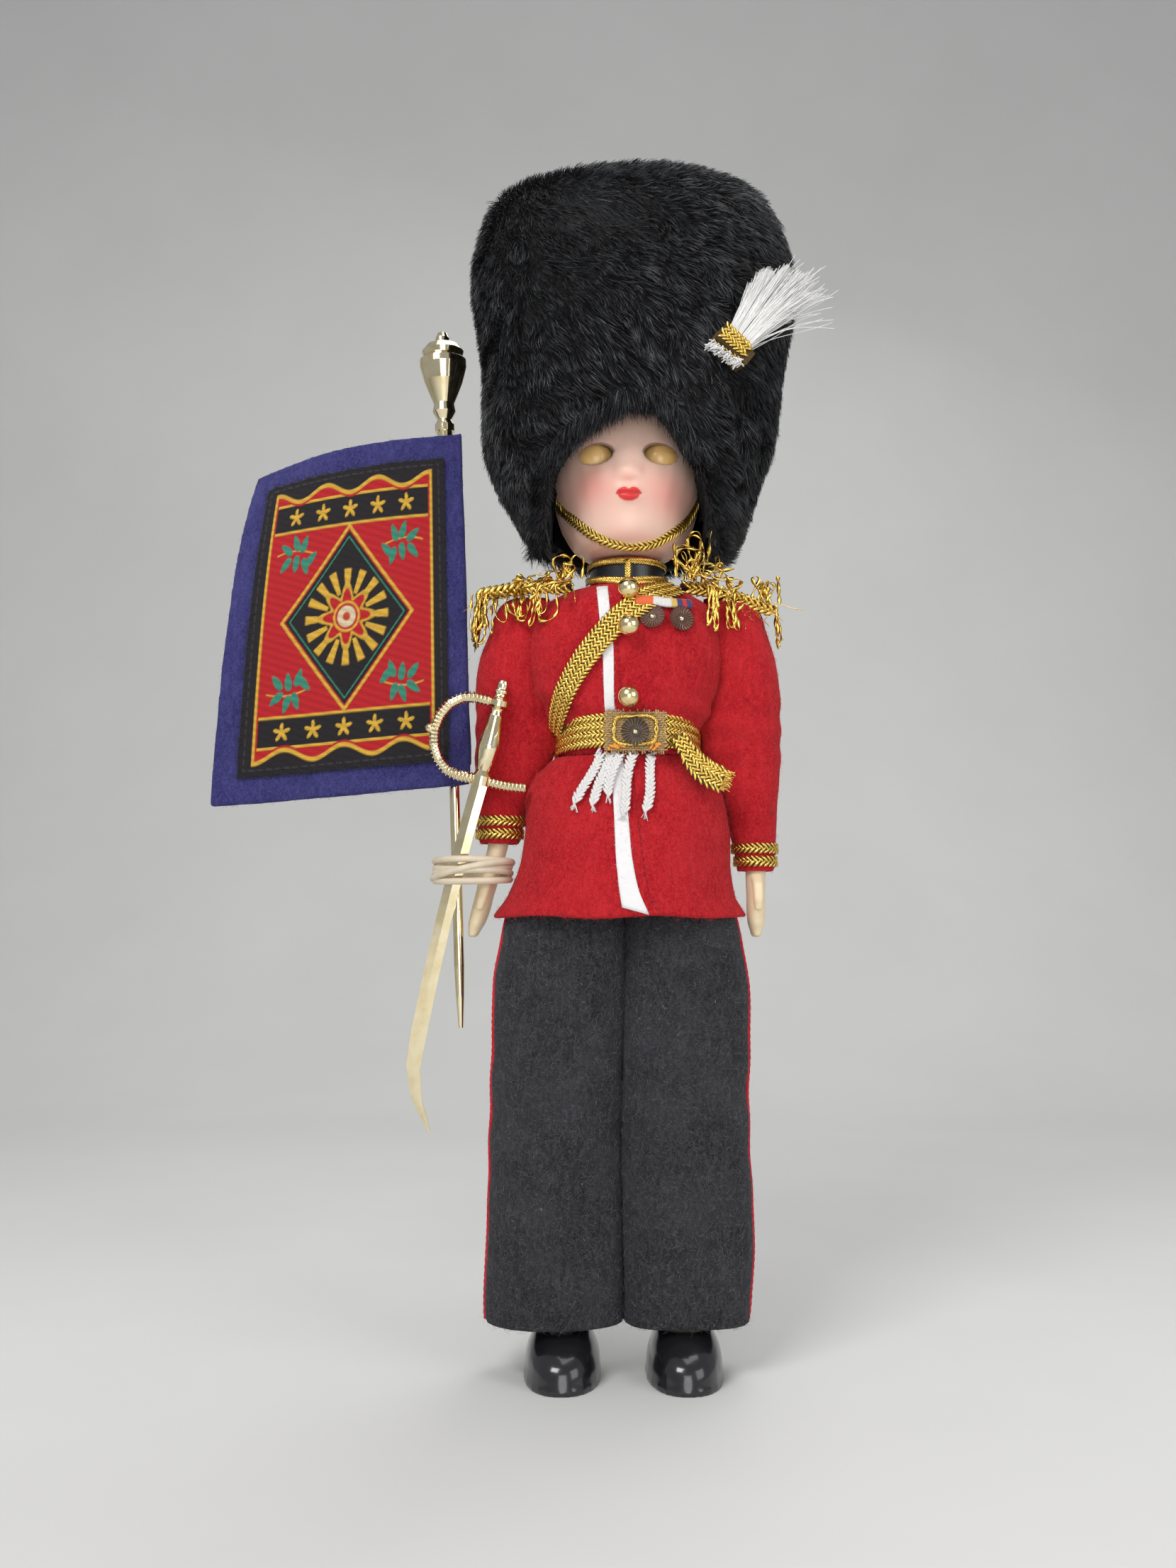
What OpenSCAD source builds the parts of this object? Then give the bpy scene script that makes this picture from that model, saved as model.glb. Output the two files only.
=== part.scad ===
// Strung plastic doll dressed as a guardsman, standing, in millimetres.
// The front looks along -Y, and the doll's right hand, with sword and flag, is at -X.

/* [Legs and shoes] */
// Height of the hip joint above the floor
hip_z = 90; // [84:1:100]
// Distance from the middle of the doll to the middle of each leg
leg_x = 11.2; // [10.5:0.1:12.5]
// Radius of the ball at the top of each leg
hip_r = 5.1; // [4.6:0.1:5.6]
// Radius of each ankle
ankle_r = 3.6; // [2.8:0.1:4.2]
// Wall of the hollow legs and arms
limb_wall = 1.2; // [0.8:0.1:1.5]
// Length of a shoe
shoe_l = 22; // [19:0.5:25]
// Width of a shoe
shoe_w = 14.4; // [12:0.2:15]
// Height of a shoe at the instep
shoe_h = 9; // [7.5:0.5:11]
// Thickness of a shoe's sole
sole_t = 1.2; // [0.8:0.1:2]

/* [Torso] */
// Height from the hip joint to the bottom of the hollow trunk
trunk_rise = 7; // [6.5:0.5:9]
// Height of the hollow trunk, from the hips to the root of the neck
trunk_h = 50; // [46:1:56]
// Width of the trunk at the shoulders
trunk_w = 26; // [24:0.5:28]
// Depth of the trunk at the chest
trunk_d = 19; // [16:0.5:21]
// Wall of the trunk's two shells
trunk_wall = 1.3; // [0.9:0.1:1.6]
// Radius of the stem that the head turns on
stem_r = 4; // [3:0.1:4.4]
// Height of the stem above the trunk's top wall
stem_h = 8.9; // [8:0.1:10]
// How far the doll's lower half stands off its middle line
lean = -1; // [-2:0.1:0]

/* [Arms] */
// Drop from the trunk's top to the shoulder joint
shoulder_drop = 8; // [7:0.5:10]
// Distance from the middle of the doll to the middle of each shoulder
arm_x = 19.8; // [19.5:0.1:21]
// How far the forearm stands out beyond the shoulder
arm_spread = 4.8; // [4:0.1:6]
// How far the hands hang behind the shoulder joints
arm_back = 2; // [0:0.5:3]
// Length from the shoulder joint to the finger tips
arm_l = 59; // [56:1:62]
// Radius of the upper arm
arm_r = 4.4; // [3.8:0.1:4.8]
// Radius of the elastic cords
cord_r = 0.8; // [0.5:0.1:1]
// Outward turn of the hand that holds the sword, at the finger tips
hand_splay = 4.8; // [4:0.1:5.5]

/* [Head and eyes] */
// Height of the head
head_h = 35; // [33:0.5:38]
// Width of the head
head_w = 29.6; // [28:0.2:31]
// Depth of the head
head_d = 30; // [28:0.5:31]
// Wall of the head
head_wall = 1.2; // [0.8:0.1:1.4]
// Height of the eyes above the chin
eye_rise = 17.4; // [16.5:0.1:18.5]
// Distance from the middle of the face to each eye
eye_x = 6; // [5.4:0.1:6.6]
// Radius of an eyeball
eye_r = 4; // [3.4:0.1:4.2]
// Width of an eye opening
eye_w = 6.2; // [5.2:0.1:6.6]
// Height of an eye opening
eye_h = 3.8; // [3:0.1:4.4]
// Length of the arm that carries the eye weight
weight_l = 5.5; // [4.5:0.5:6]
// Radius of the eye weight
weight_r = 2.2; // [1.5:0.1:2.4]
// Length of the nose
nose_l = 2.6; // [1.5:0.1:3]

/* [Bearskin] */
// Height of the bearskin from its lower edge to its top
hat_h = 75.5; // [71:0.5:80]
// Width of the bearskin
hat_w = 62.6; // [60:0.2:66]
// Depth of the bearskin
hat_d = 46; // [44:0.5:52]
// Thickness of the fur cloth with its pile
fur_t = 5; // [4:0.2:5.6]
// Width of the opening for the face
face_w = 28; // [26:0.5:29]
// Height from the chin to the fur over the forehead
brow_rise = 22.4; // [21:0.2:24]
// Length of the plume from its band
plume_l = 19; // [15:0.5:22]
// Width of the plume at its band
plume_w = 5.6; // [4.5:0.1:6.5]
// Spread of the plume at its tips
plume_fan = 14; // [10:0.5:16]
// Turn of the plume away from upright
plume_turn = 38; // [25:1:45]

/* [Tunic] */
// Thickness of the felt
felt = 1.4; // [1:0.1:1.6]
// Height from the hip joint to the tunic's hem, below it
hem_drop = 6.4; // [5:0.2:8]
// Width of the tunic at its hem
hem_w = 45.2; // [43:0.2:47]
// Depth of the tunic at its hem
hem_d = 27; // [25:0.5:29]
// Depth of the folds in the hanging cloth
fold = 0.5; // [0.2:0.1:0.8]
// Radius of a sleeve at the upper arm
sleeve_r = 6.2; // [6:0.1:6.4]
// Radius of a sleeve at the cuff
cuff_r = 3.6; // [3.5:0.1:3.9]
// Height of the cuffs above the finger tips, on the doll's left
left_cuff_rise = 12.4; // [11:0.2:15]
// Height of the cuffs above the finger tips, on the doll's right
right_cuff_rise = 17.6; // [16:0.2:19]
// Height of the belt's middle above the hip joint
belt_rise = 27; // [25:0.5:29]
// Width of the gold braid of belt and sash
braid_w = 6; // [4.5:0.1:6.6]
// Thickness of the gold braid
braid_t = 0.8; // [0.5:0.1:1]
// Radius of a bead button
bead_r = 2; // [1.5:0.1:2.4]
// Radius of a cup sequin
sequin_r = 2.4; // [2:0.1:2.8]
// Height of the collar
collar_h = 4; // [3:0.1:4.4]
// Length of the shoulder boards
board_l = 17.5; // [16:0.5:19]
// Width of the shoulder boards
board_w = 7; // [5:0.5:8]
// Length of the fringe under the shoulder boards
fringe_l = 12; // [8:0.5:14]

/* [Trousers] */
// Reach of the trousers from the middle of the doll, at the top
leg_reach = 23; // [21.6:0.1:23.2]
// Reach of the trousers from the middle of the doll, at the hems
leg_flare = 24.6; // [23.4:0.1:26]
// Depth of each trouser leg
trouser_d = 16.4; // [15:0.2:17.5]
// Height of the trouser hems above the floor
cuff_z = 9.6; // [9.4:0.1:12]
// Thickness of the red piping
piping_t = 0.8; // [0.5:0.1:1]

/* [Flag and sword] */
// Width of the flag along its lower edge
flag_w = 50; // [46:0.5:54]
// Height of the flag
flag_h = 69; // [64:1:74]
// Tilt of the flag, in degrees
flag_tilt = 5; // [0:1:8]
// Thickness of the flag's felt
flag_t = 1.5; // [1:0.1:2]
// Border of felt left around the patch
flag_border = 5; // [3:0.5:7]
// Length of the pole below the middle of the hand
pole_below = 29.6; // [26:0.2:34]
// Radius of the pole
pole_r = 1; // [0.8:0.05:1.2]
// Height of the finial
finial_h = 20; // [17:0.5:23]
// Radius of the finial
finial_r = 4.6; // [3.6:0.1:5]
// Distance from the hand to the pole, from middle to middle
pole_gap = 6.6; // [6.2:0.1:7.4]
// Length of the sword's blade
blade_l = 68; // [62:1:72]
// Width of the sword's blade
blade_w = 3; // [2.4:0.1:3.4]
// Thickness of the sword's blade
blade_t = 1.1; // [0.8:0.1:1.4]
// Length of the sword's grip with its pommel
grip_l = 17; // [15:0.5:19]
// Radius of the sword's grip
grip_r = 1.6; // [1.2:0.1:1.8]
// Width of the knuckle guard
guard_w = 11.5; // [10:0.5:13]
// Radius of the guard's bar
guard_r = 0.9; // [0.6:0.1:1.1]
// Radius of the rubber band's strand
band_r = 0.75; // [0.5:0.05:0.8]
// Turns of the rubber band
band_turns = 3; // [2:1:3]
// Rise of the rubber band from turn to turn
band_pitch = 2.4; // [2.2:0.1:2.6]

/* [Hidden] */

LEFT = 1;    // the doll's left is at +X
RIGHT = -1;  // the doll's right is at -X
over = 1;    // overrun of every cut
gap = 0.3;   // clearance between pieces that lie on each other
snug = 0.05; // clearance of pieces that are pushed on or sewn flat
running = 0.2; // clearance round the cords and the neck stem
round_fn = 32;

// Heights
trunk_z = hip_z + trunk_rise;
trunk_top = trunk_z + trunk_h;
shoulder_z = trunk_top - shoulder_drop;
chin_z = trunk_top - 2 * trunk_wall + stem_h - running / 2 - head_wall;
eye_z = chin_z + eye_rise;
hat_z = chin_z + 2 * running + trunk_wall / 2;
hem_z = hip_z - hem_drop;
belt_z = hip_z + belt_rise;
tip_z = shoulder_z - arm_l;
grip_z = mix(tip_z, shoulder_z, 0.21);
lean_z = hem_z + 2.3 * hem_drop;

// Arms long enough to bring the grip down beside the trousers stand out past them
grip_h = 8.6;
arm_out = arm_spread + clamp01((hem_z + grip_h - grip_z) * 2 / grip_h) * leg_flare / 5;

// Small sizes
flange_r = stem_r + 1.2 * trunk_wall;
flange_t = trunk_wall;
knot_r = 2 * cord_r;
seat_x = trunk_w / 2 - gap;
pin_r = 0.75 * eye_r / 4;

function clamp01(t) = max(0, min(1, t));
function ease(t) = let (u = clamp01(t)) u * u * (3 - 2 * u);
function mix(a, b, t) = a + (b - a) * t;
function unit(v) = v / norm(v);
function column(table, c, t) = lookup(t, [for (row = table) [row[0], row[c]]]);
function mid_x(z) = lean * clamp01((lean_z - z) / (lean_z - hem_z));

// A closed ring round [cx, cy] at height z: half widths a, and b_front or b_back
function ring(cx, cy, z, a, b_front, b_back, n, power = 1) = [
  for (i = [0 : n - 1])
    let (t = 360 * i / n, c = cos(t), s = sin(t))
    [cx + a * sign(c) * pow(abs(c), power),
     cy + (s < 0 ? b_front : b_back) * sign(s) * pow(abs(s), power), z]
];

function centre(points) = [for (k = [0 : 2]) min([for (p = points) p[k]]) / 2
                                            + max([for (p = points) p[k]]) / 2];

// Triangles between one ring of points and the next
function band_faces(n, low, high) = [
  for (i = [0 : n - 1])
    let (j = (i + 1) % n)
    each [[low + i, high + i, high + j], [low + i, high + j, low + j]]
];

// A solid through rings of points, closed at both ends
module loft(rings) {
  n = len(rings[0]);
  m = len(rings);
  polyhedron(
    points = concat([for (r = rings) each r], [centre(rings[0]), centre(rings[m - 1])]),
    faces = concat(
      [for (k = [0 : m - 2]) each band_faces(n, k * n, (k + 1) * n)],
      [for (i = [0 : n - 1]) [m * n, i, (i + 1) % n]],
      [for (i = [0 : n - 1]) [m * n + 1, (m - 1) * n + (i + 1) % n, (m - 1) * n + i]]
    ),
    convexity = 6
  );
}

// A tube of cloth or plastic: outer rings going up, then inner rings going down
module hoop(outer, inner) {
  rings = concat(outer, [for (k = [len(inner) - 1 : -1 : 0]) inner[k]]);
  n = len(rings[0]);
  m = len(rings);
  polyhedron(
    points = [for (r = rings) each r],
    faces = [for (k = [0 : m - 1]) each band_faces(n, k * n, ((k + 1) % m) * n)],
    convexity = 6
  );
}

// A cap closed at the top: inner rings going down, then outer rings going up
module cap(outer, inner) {
  loft(concat([for (k = [len(inner) - 1 : -1 : 0]) inner[k]], outer));
}

function heading(path, i) =
  unit(path[min(i + 1, len(path) - 1)] - path[max(i - 1, 0)]);

// Rings square to a path, which never runs along the direction "up"
function tube_rings(path, r, n, up = [0, 0, 1]) = [
  for (i = [0 : len(path) - 1])
    let (t = heading(path, i), s = unit(cross(t, up)), u = cross(t, s))
    [for (k = [0 : n - 1]) path[i] + r * (cos(360 * k / n) * s + sin(360 * k / n) * u)]
];

// Rings of a flat band that lies on a surface: its back runs along the path
function strap_rings(path, normals, w, t) = [
  for (i = [0 : len(path) - 1])
    let (h = heading(path, i), n = unit(normals[i]), s = unit(cross(h, n)) * w / 2)
    [path[i] - s, path[i] - s + n * t, path[i] + s + n * t, path[i] + s]
];

// The whole doll stands with the middle of its box over the origin
module placed() translate([box_x, box_y, 0]) children();

// Torso: two shells with a saddle between the legs and a stem for the head
trunk_sides = 20;
// Height, half width and half depth of the trunk
trunk_shares = [
  [0, 0.96, 0.84], [0.11, 0.98, 0.86], [0.31, 0.87, 0.84], [0.42, 0.87, 0.86],
  [0.62, 0.95, 0.98], [0.81, 1, 1], [0.92, 0.92, 0.9], [0.97, 0.72, 0.74], [1, 0.4, 0.5]
];
saddle_shares = [[0, 0.5, 0.5], [0.2, 0.95, 0.9], [1, 1, 1]];
saddle_w = 2 * (leg_x - hip_r - gap);
saddle_d = 0.6 * trunk_d;
saddle_z = hip_z - 0.72 * hip_r;

function trunk_half(z, c) = column(trunk_shares, c, (z - trunk_z) / trunk_h)
                            * (c == 1 ? trunk_w : trunk_d) / 2;
function trunk_ring(z, grow) = ring(mid_x(z), 0, z, trunk_half(z, 1) + grow,
                                    trunk_half(z, 2) + grow, trunk_half(z, 2) + grow, trunk_sides);

module trunk() {
  levels = [for (row = trunk_shares) trunk_z + row[0] * trunk_h];
  saddle_h = trunk_z + trunk_wall / 2 - saddle_z;
  saddle = [for (row = saddle_shares)
    ring(mid_x(saddle_z), 0, saddle_z + row[0] * saddle_h, row[1] * saddle_w / 2,
         row[2] * saddle_d / 2, row[2] * saddle_d / 2, trunk_sides)];
  difference() {
    union() {
      loft([for (z = levels) trunk_ring(z, 0)]);
      loft(saddle);
      stem();
    }
    loft([for (z = levels)
      trunk_ring(mix(trunk_z + trunk_wall, trunk_top - trunk_wall, (z - trunk_z) / trunk_h), -trunk_wall)]);
    for (side = [LEFT, RIGHT]) {
      shoulder_seat(side);
      along_x(side, shoulder_z, 0, trunk_w, cord_r + running);
    }
    along_x(LEFT, hip_z, -trunk_w, trunk_w, cord_r + running);
  }
}

// Cylinder along X at a height, from one distance to another on one side of the middle
module along_x(side, z, x1, x2, r) {
  translate([side * x1, 0, z]) rotate([0, side * 90, 0]) cylinder(h = x2 - x1, r = r, $fn = round_fn);
}

module shoulder_seat(side) along_x(side, shoulder_z, seat_x, trunk_w, 1.3 * arm_r);

module stem() {
  translate([0, 0, trunk_top - trunk_wall]) rotate_extrude($fn = 2 * round_fn) polygon([
    [0, 0], [stem_r, 0], [stem_r, stem_h - flange_t], [flange_r, stem_h - flange_t],
    [flange_r, stem_h], [0, stem_h]
  ]);
}

module half_space(front) {
  reach = 2 * (trunk_h + trunk_w + head_w);
  translate([-reach, front ? -2 * reach : 0, -reach]) cube([2 * reach, 2 * reach, 3 * reach]);
}

module torso_front() {
  color("antiquewhite") placed() intersection() {
    trunk();
    half_space(true);
  }
}

module torso_back() {
  color("antiquewhite") placed() intersection() {
    trunk();
    half_space(false);
  }
}

// A cord across the body, with a knot in the hollow at each end
module cross_cord(z, x0, end_x) {
  translate([x0, 0, 0]) union() {
    along_x(LEFT, z, -end_x, end_x, cord_r);
    for (side = [LEFT, RIGHT]) translate([side * end_x, 0, z]) sphere(r = knot_r, $fn = round_fn);
  }
}

arm_knot_x = seat_x + gap + limb_wall + running + knot_r;
leg_knot_x = leg_x - hip_r + limb_wall + running + knot_r;

module arm_cord() {
  color("black") placed() cross_cord(shoulder_z, 0, arm_knot_x);
}

module leg_cord() {
  color("black") placed() cross_cord(hip_z, lean, leg_knot_x);
}

// Legs: hollow, turned on their own middle line, with a plug that fills the shoe
foot_r = ankle_r + 0.6 * limb_wall;

module leg(side) {
  thigh = hip_r - 0.4 * limb_wall;
  calf = mix(ankle_r, thigh, 0.6);
  leg_l = hip_z - sole_t - snug;
  inner = hip_r - limb_wall;
  color("bisque") placed() translate([lean + side * leg_x, 0, 0]) difference() {
    union() {
      translate([0, 0, hip_z]) sphere(r = hip_r, $fn = round_fn);
      translate([0, 0, sole_t + snug]) rotate_extrude($fn = round_fn) polygon([
        [0, 0], [foot_r, 0], [foot_r, 0.06 * leg_l], [ankle_r, 0.1 * leg_l],
        [calf, 0.3 * leg_l], [0.96 * calf, 0.46 * leg_l], [thigh, 0.68 * leg_l],
        [thigh, leg_l], [0, leg_l]
      ]);
    }
    translate([0, 0, hip_z]) sphere(r = inner, $fn = round_fn);
    along_x(-side, hip_z, 0, hip_r + over, cord_r + running);
  }
}

module left_leg() leg(LEFT);
module right_leg() leg(RIGHT);

// Shoes: a flat sole with a welt, and a rounded upper pushed on over the foot
shoe_sides = 24;
heel_y = 0.36 * shoe_l;
toe_y = shoe_l - heel_y;
welt = 0.25 * sole_t;
// Height, width, reach of the toe and reach of the heel of the upper
shoe_shares = [
  [0, 1, 1, 1], [0.22, 1.02, 1, 1.01], [0.44, 0.99, 0.95, 0.97],
  [0.64, 0.92, 0.82, 0.91], [0.84, 0.8, 0.62, 0.84], [1, 0.7, 0.46, 0.78]
];

module shoe(side) {
  upper = [for (row = shoe_shares)
    ring(0, 0, mix(sole_t - welt, shoe_h, row[0]), row[1] * (shoe_w / 2 - welt),
         row[2] * (toe_y - welt), row[3] * (heel_y - welt), shoe_sides, 0.86)];
  color("black") placed() translate([lean + side * leg_x, 0, 0]) difference() {
    union() {
      linear_extrude(sole_t)
        polygon([for (p = ring(0, 0, 0, shoe_w / 2, toe_y, heel_y, shoe_sides, 0.86)) [p[0], p[1]]]);
      loft(upper);
    }
    translate([0, 0, sole_t]) cylinder(h = shoe_h, r = foot_r + snug, $fn = round_fn);
  }
}

module left_shoe() shoe(LEFT);
module right_shoe() shoe(RIGHT);

// Arms: hollow at the shoulder, one moulding with the hand
arm_sides = 14;
hand_share = 0.7;
// Way down the arm, outward reach, half thickness and half width
arm_shares = [
  [-0.075, 0, 0.3, 0.3], [-0.055, 0, 0.72, 0.72], [-0.02, 0, 0.97, 0.97], [0.03, 0.2, 1, 1],
  [0.1, 0.45, 0.98, 0.98], [0.25, 0.75, 0.82, 0.84], [0.4, 0.9, 0.76, 0.8], [0.53, 1, 0.68, 0.7],
  [0.66, 1, 0.5, 0.54], [0.71, 1, 0.45, 0.52], [0.78, 1, 0.45, 0.58], [0.83, 1, 0.44, 0.74],
  [0.9, 1, 0.4, 0.7], [0.96, 1, 0.32, 0.52], [1, 1, 0.16, 0.24]
];
// Way along the thumb, reach forward and half thickness
thumb_shares = [[0.795, 0.3, 0.3], [0.83, 0.82, 0.26], [0.88, 0.98, 0.24], [0.915, 0.94, 0.16]];

function way(z) = (shoulder_z - z) / arm_l;
function hand_turn(z) = clamp01((way(z) - hand_share) / (1 - hand_share));
function hand_splay_at(z) = hand_splay * hand_turn(z);
function arm_mid(side, z) = side * (arm_x + arm_out * column(arm_shares, 1, way(z))
                                    + (side == RIGHT ? hand_splay_at(z) : 0));
function arm_y(z) = arm_back * ease(way(z) / hand_share);

module arm(side) {
  rings = [for (k = [len(arm_shares) - 1 : -1 : 0])
    let (row = arm_shares[k], z = shoulder_z - row[0] * arm_l)
    ring(arm_mid(side, z), arm_y(z), z, row[2] * arm_r, row[3] * arm_r, row[3] * arm_r, arm_sides)];
  thumb = [for (k = [len(thumb_shares) - 1 : -1 : 0])
    let (row = thumb_shares[k], z = shoulder_z - row[0] * arm_l, r = row[2] * arm_r)
    ring(arm_mid(side, z), arm_y(z) - row[1] * arm_r, z, r, r, r, 8)];
  flange_x = seat_x + gap;
  color("antiquewhite") placed() difference() {
    union() {
      loft(rings);
      loft(thumb);
      along_x(side, shoulder_z, flange_x, arm_x, 0.9 * arm_r);
    }
    along_x(side, shoulder_z, flange_x + limb_wall, arm_knot_x + knot_r + running, knot_r + running);
    along_x(side, shoulder_z, flange_x - over, arm_knot_x, cord_r + running);
  }
}

module left_arm() arm(LEFT);
module right_arm() arm(RIGHT);

// Head: front and back shells that meet at the ears, hollow for the eyes
head_sides = 26;
// Height, half width, front and back of the head
head_shares = [
  [0, 0.42, 0.4, 0.4], [0.02, 0.56, 0.74, 0.5], [0.065, 0.7, 0.85, 0.62], [0.14, 0.82, 0.92, 0.76],
  [0.22, 0.89, 0.96, 0.86], [0.3, 0.94, 0.985, 0.92], [0.4, 0.98, 1, 0.97], [0.5, 1, 1, 1],
  [0.6, 1, 0.99, 1], [0.7, 0.96, 0.96, 0.97], [0.82, 0.82, 0.8, 0.84], [0.93, 0.54, 0.5, 0.56],
  [1, 0.16, 0.16, 0.16]
];
nose_rise = 0.62 * eye_rise;
lip_rise = 0.47 * eye_rise;

// The eyeballs lie just inside the curve of the face
eye_sink = 0.9;
eye_ball_y = eye_r + eye_sink - head_d / 2 * sqrt(1 - pow(2 * eye_x / head_w, 2));

// A smooth rise of the face round one place, one at its middle
function bump(x, z, at_x, at_z, wide, high) =
  exp(-pow((x - at_x) / wide, 2) - pow((z - at_z) / high, 2));

function head_half(z, c) = column(head_shares, c, (z - chin_z) / head_h);
function face_y(x, z) =
  let (half = head_half(z, 1) * head_w / 2, flat = sqrt(max(0, 1 - pow(x / half, 2))))
  -head_half(z, 2) * head_d / 2 * flat
  - nose_l * bump(x, z, 0, chin_z + nose_rise, nose_l / 1.6, nose_l / 1.2)
  - nose_l / 4 * bump(x, z, 0, chin_z + lip_rise, nose_l, nose_l / 2)
  + nose_l / 4 * bump(abs(x), z, eye_x, eye_z, eye_w / 2, eye_h / 2);

function head_ring(z, inset) = [
  for (i = [0 : head_sides - 1])
    let (t = 360 * i / head_sides,
         half = head_half(z, 1) * head_w / 2 - inset,
         back = head_half(z, 3) * head_d / 2 - inset,
         x = half * cos(t))
    [x, sin(t) < -0.01 ? (inset > 0 ? sin(t) * (head_half(z, 2) * head_d / 2 - inset) : face_y(x, z))
                       : back * sin(t), z]
];

face_level_shares = [0, 0.02, 0.065, 0.11, 0.16, 0.205, 0.235, 0.265, 0.295, 0.325, 0.355, 0.4,
                     0.45, 0.5, 0.55, 0.6, 0.7, 0.82, 0.93, 1];

module head() {
  inner_low = chin_z + head_wall;
  inner_high = chin_z + head_h - head_wall;
  difference() {
    loft([for (t = face_level_shares) head_ring(chin_z + t * head_h, 0)]);
    loft([for (row = head_shares)
      head_ring(mix(inner_low, inner_high, row[0]), head_wall)]);
    translate([0, 0, chin_z - over]) cylinder(h = head_wall + 2 * over, r = stem_r + running,
                                              $fn = 2 * round_fn);
    for (side = [LEFT, RIGHT]) translate([side * eye_x, 0, eye_z]) {
      translate([0, eye_ball_y, 0]) sphere(r = eye_r + snug, $fn = round_fn);
      rotate([90, 0, 0]) linear_extrude(head_d) eye_outline();
    }
  }
}

module eye_outline() {
  polygon([for (i = [0 : 19]) [eye_w / 2 * cos(18 * i), eye_h / 2 * sin(18 * i)]]);
}

module head_front() {
  color("mistyrose") placed() intersection() {
    head();
    half_space(true);
  }
}

module head_back() {
  color("mistyrose") placed() intersection() {
    head();
    half_space(false);
  }
}

// Eyes: two balls with flats, on a rod with a weight that swings them open
eye_flat = 0.8 * eye_r;

module eye(side) {
  color("peru") placed() translate([side * eye_x, eye_ball_y, eye_z]) rotate([0, 0, side > 0 ? 180 : 0])
    intersection() {
      sphere(r = eye_r, $fn = round_fn);
      translate([eye_flat - 2 * eye_r, -eye_r, -eye_r]) cube(2 * eye_r);
    }
}

module left_eye() eye(LEFT);
module right_eye() eye(RIGHT);

module eye_rocker() {
  rod_x = eye_x - eye_flat;
  color("dimgray") placed() translate([0, eye_ball_y, eye_z]) union() {
    translate([-rod_x, 0, 0]) rotate([0, 90, 0]) cylinder(h = 2 * rod_x, r = pin_r, $fn = round_fn);
    rotate([-90, 0, 0]) cylinder(h = weight_l, r = pin_r, $fn = round_fn);
    translate([0, weight_l, 0]) sphere(r = weight_r, $fn = round_fn);
  }
}

// Bearskin: a hood of fur cloth with an opening for the face, over a wad of stuffing
hat_sides = 28;
hat_shift = 1.6;
// Height, middle, half width, front and back
hat_shares = [
  [0, 0.02, 0.62, 0.46, 0.66], [0.06, 0.01, 0.71, 0.64, 0.78], [0.16, 0, 0.8, 0.82, 0.9],
  [0.27, 0.01, 0.885, 0.93, 0.97], [0.4, 0.02, 0.94, 0.98, 1], [0.52, 0.03, 0.975, 1, 1.03],
  [0.64, 0.045, 1, 0.99, 1.03], [0.76, 0.04, 0.99, 0.95, 1], [0.86, 0.02, 0.94, 0.88, 0.93],
  [0.93, 0, 0.87, 0.76, 0.8], [0.975, -0.02, 0.7, 0.56, 0.6], [1, -0.03, 0.36, 0.3, 0.32]
];
hat_power_share = 0.8;

function hat_half(z, c) = column(hat_shares, c, (z - hat_z) / hat_h);
function hat_ring(z, inset) = ring(
  hat_half(z, 1) * hat_w / 2, 0, z, hat_half(z, 2) * hat_w / 2 - inset,
  hat_half(z, 3) * hat_d / 2 - inset, hat_half(z, 4) * hat_d / 2 - inset, hat_sides, hat_power_share);

crown_z = chin_z + head_h + gap;
module bearskin() {
  top_z = hat_z + hat_h;
  brow = brow_rise - face_w / 2;
  color("#151517") placed() difference() {
    cap([for (row = hat_shares) hat_ring(hat_z + row[0] * hat_h, 0)],
        [for (row = hat_shares) hat_ring(mix(hat_z, top_z - fur_t, row[0]), fur_t)]);
    translate([0, -head_d / 8, chin_z + brow]) rotate([90, 0, 0]) linear_extrude(hat_d) {
      circle(r = face_w / 2, $fn = 2 * round_fn);
      translate([-face_w / 2, -2 * face_w]) square([face_w, 2 * face_w]);
    }
  }
}

module hat_wadding() {
  low = crown_z;
  high = hat_z + hat_h - fur_t - gap;
  inset = fur_t + 4 * gap;
  color("gray") placed() loft([for (t = [0 : 0.25 : 1])
    let (z = mix(low, high, t)) hat_ring(min(z, hat_z + 0.9 * hat_h), inset + t * t * fur_t)
      ]);
}

// Plume: strands that fan out of one slice, held by a band of gold braid
plume_cols = 24;
plume_rows = 13;
plume_t = 0.42 * plume_w;
plume_base_t = 1.6 * braid_t;
plume_z = chin_z + 0.965 * head_h;
plume_x = 0.585 * hat_w / 2;

// The front of the bearskin at a place, and the turn of the plume on it
function hat_front(x, z) =
  let (u = abs((x - hat_half(z, 1) * hat_w / 2) / (hat_half(z, 2) * hat_w / 2)))
  -hat_half(z, 3) * hat_d / 2 * pow(max(0, 1 - pow(u, 2 / hat_power_share)), hat_power_share / 2);

module on_hat(lift) {
  slope = atan2(hat_front(plume_x - plume_w / 2, plume_z) - hat_front(plume_x + plume_w / 2, plume_z),
                plume_w);
  translate([plume_x, hat_front(plume_x, plume_z) - lift, plume_z])
    rotate([0, 0, -slope]) rotate([0, plume_turn, 0]) children();
}

// Grid point of the plume: i along its width, j through its thickness, k from base to tip
function plume_point(i, j, k, pull_i = 0, pull_j = 0) =
  let (u = (i + pull_i) / plume_cols - 1 / 2, v = (j + pull_j) / plume_rows - 1 / 2,
       reach = plume_l * (1 - 0.5 * u * u - 0.14 * abs(sin(97 * i + 53 * j))))
  k == 0 ? [u * plume_w, v * plume_t, plume_base_t]
         : [u * plume_fan, v * plume_t * 1.8 - 0.1 * plume_l * (u + 0.5), plume_base_t + reach];

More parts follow.
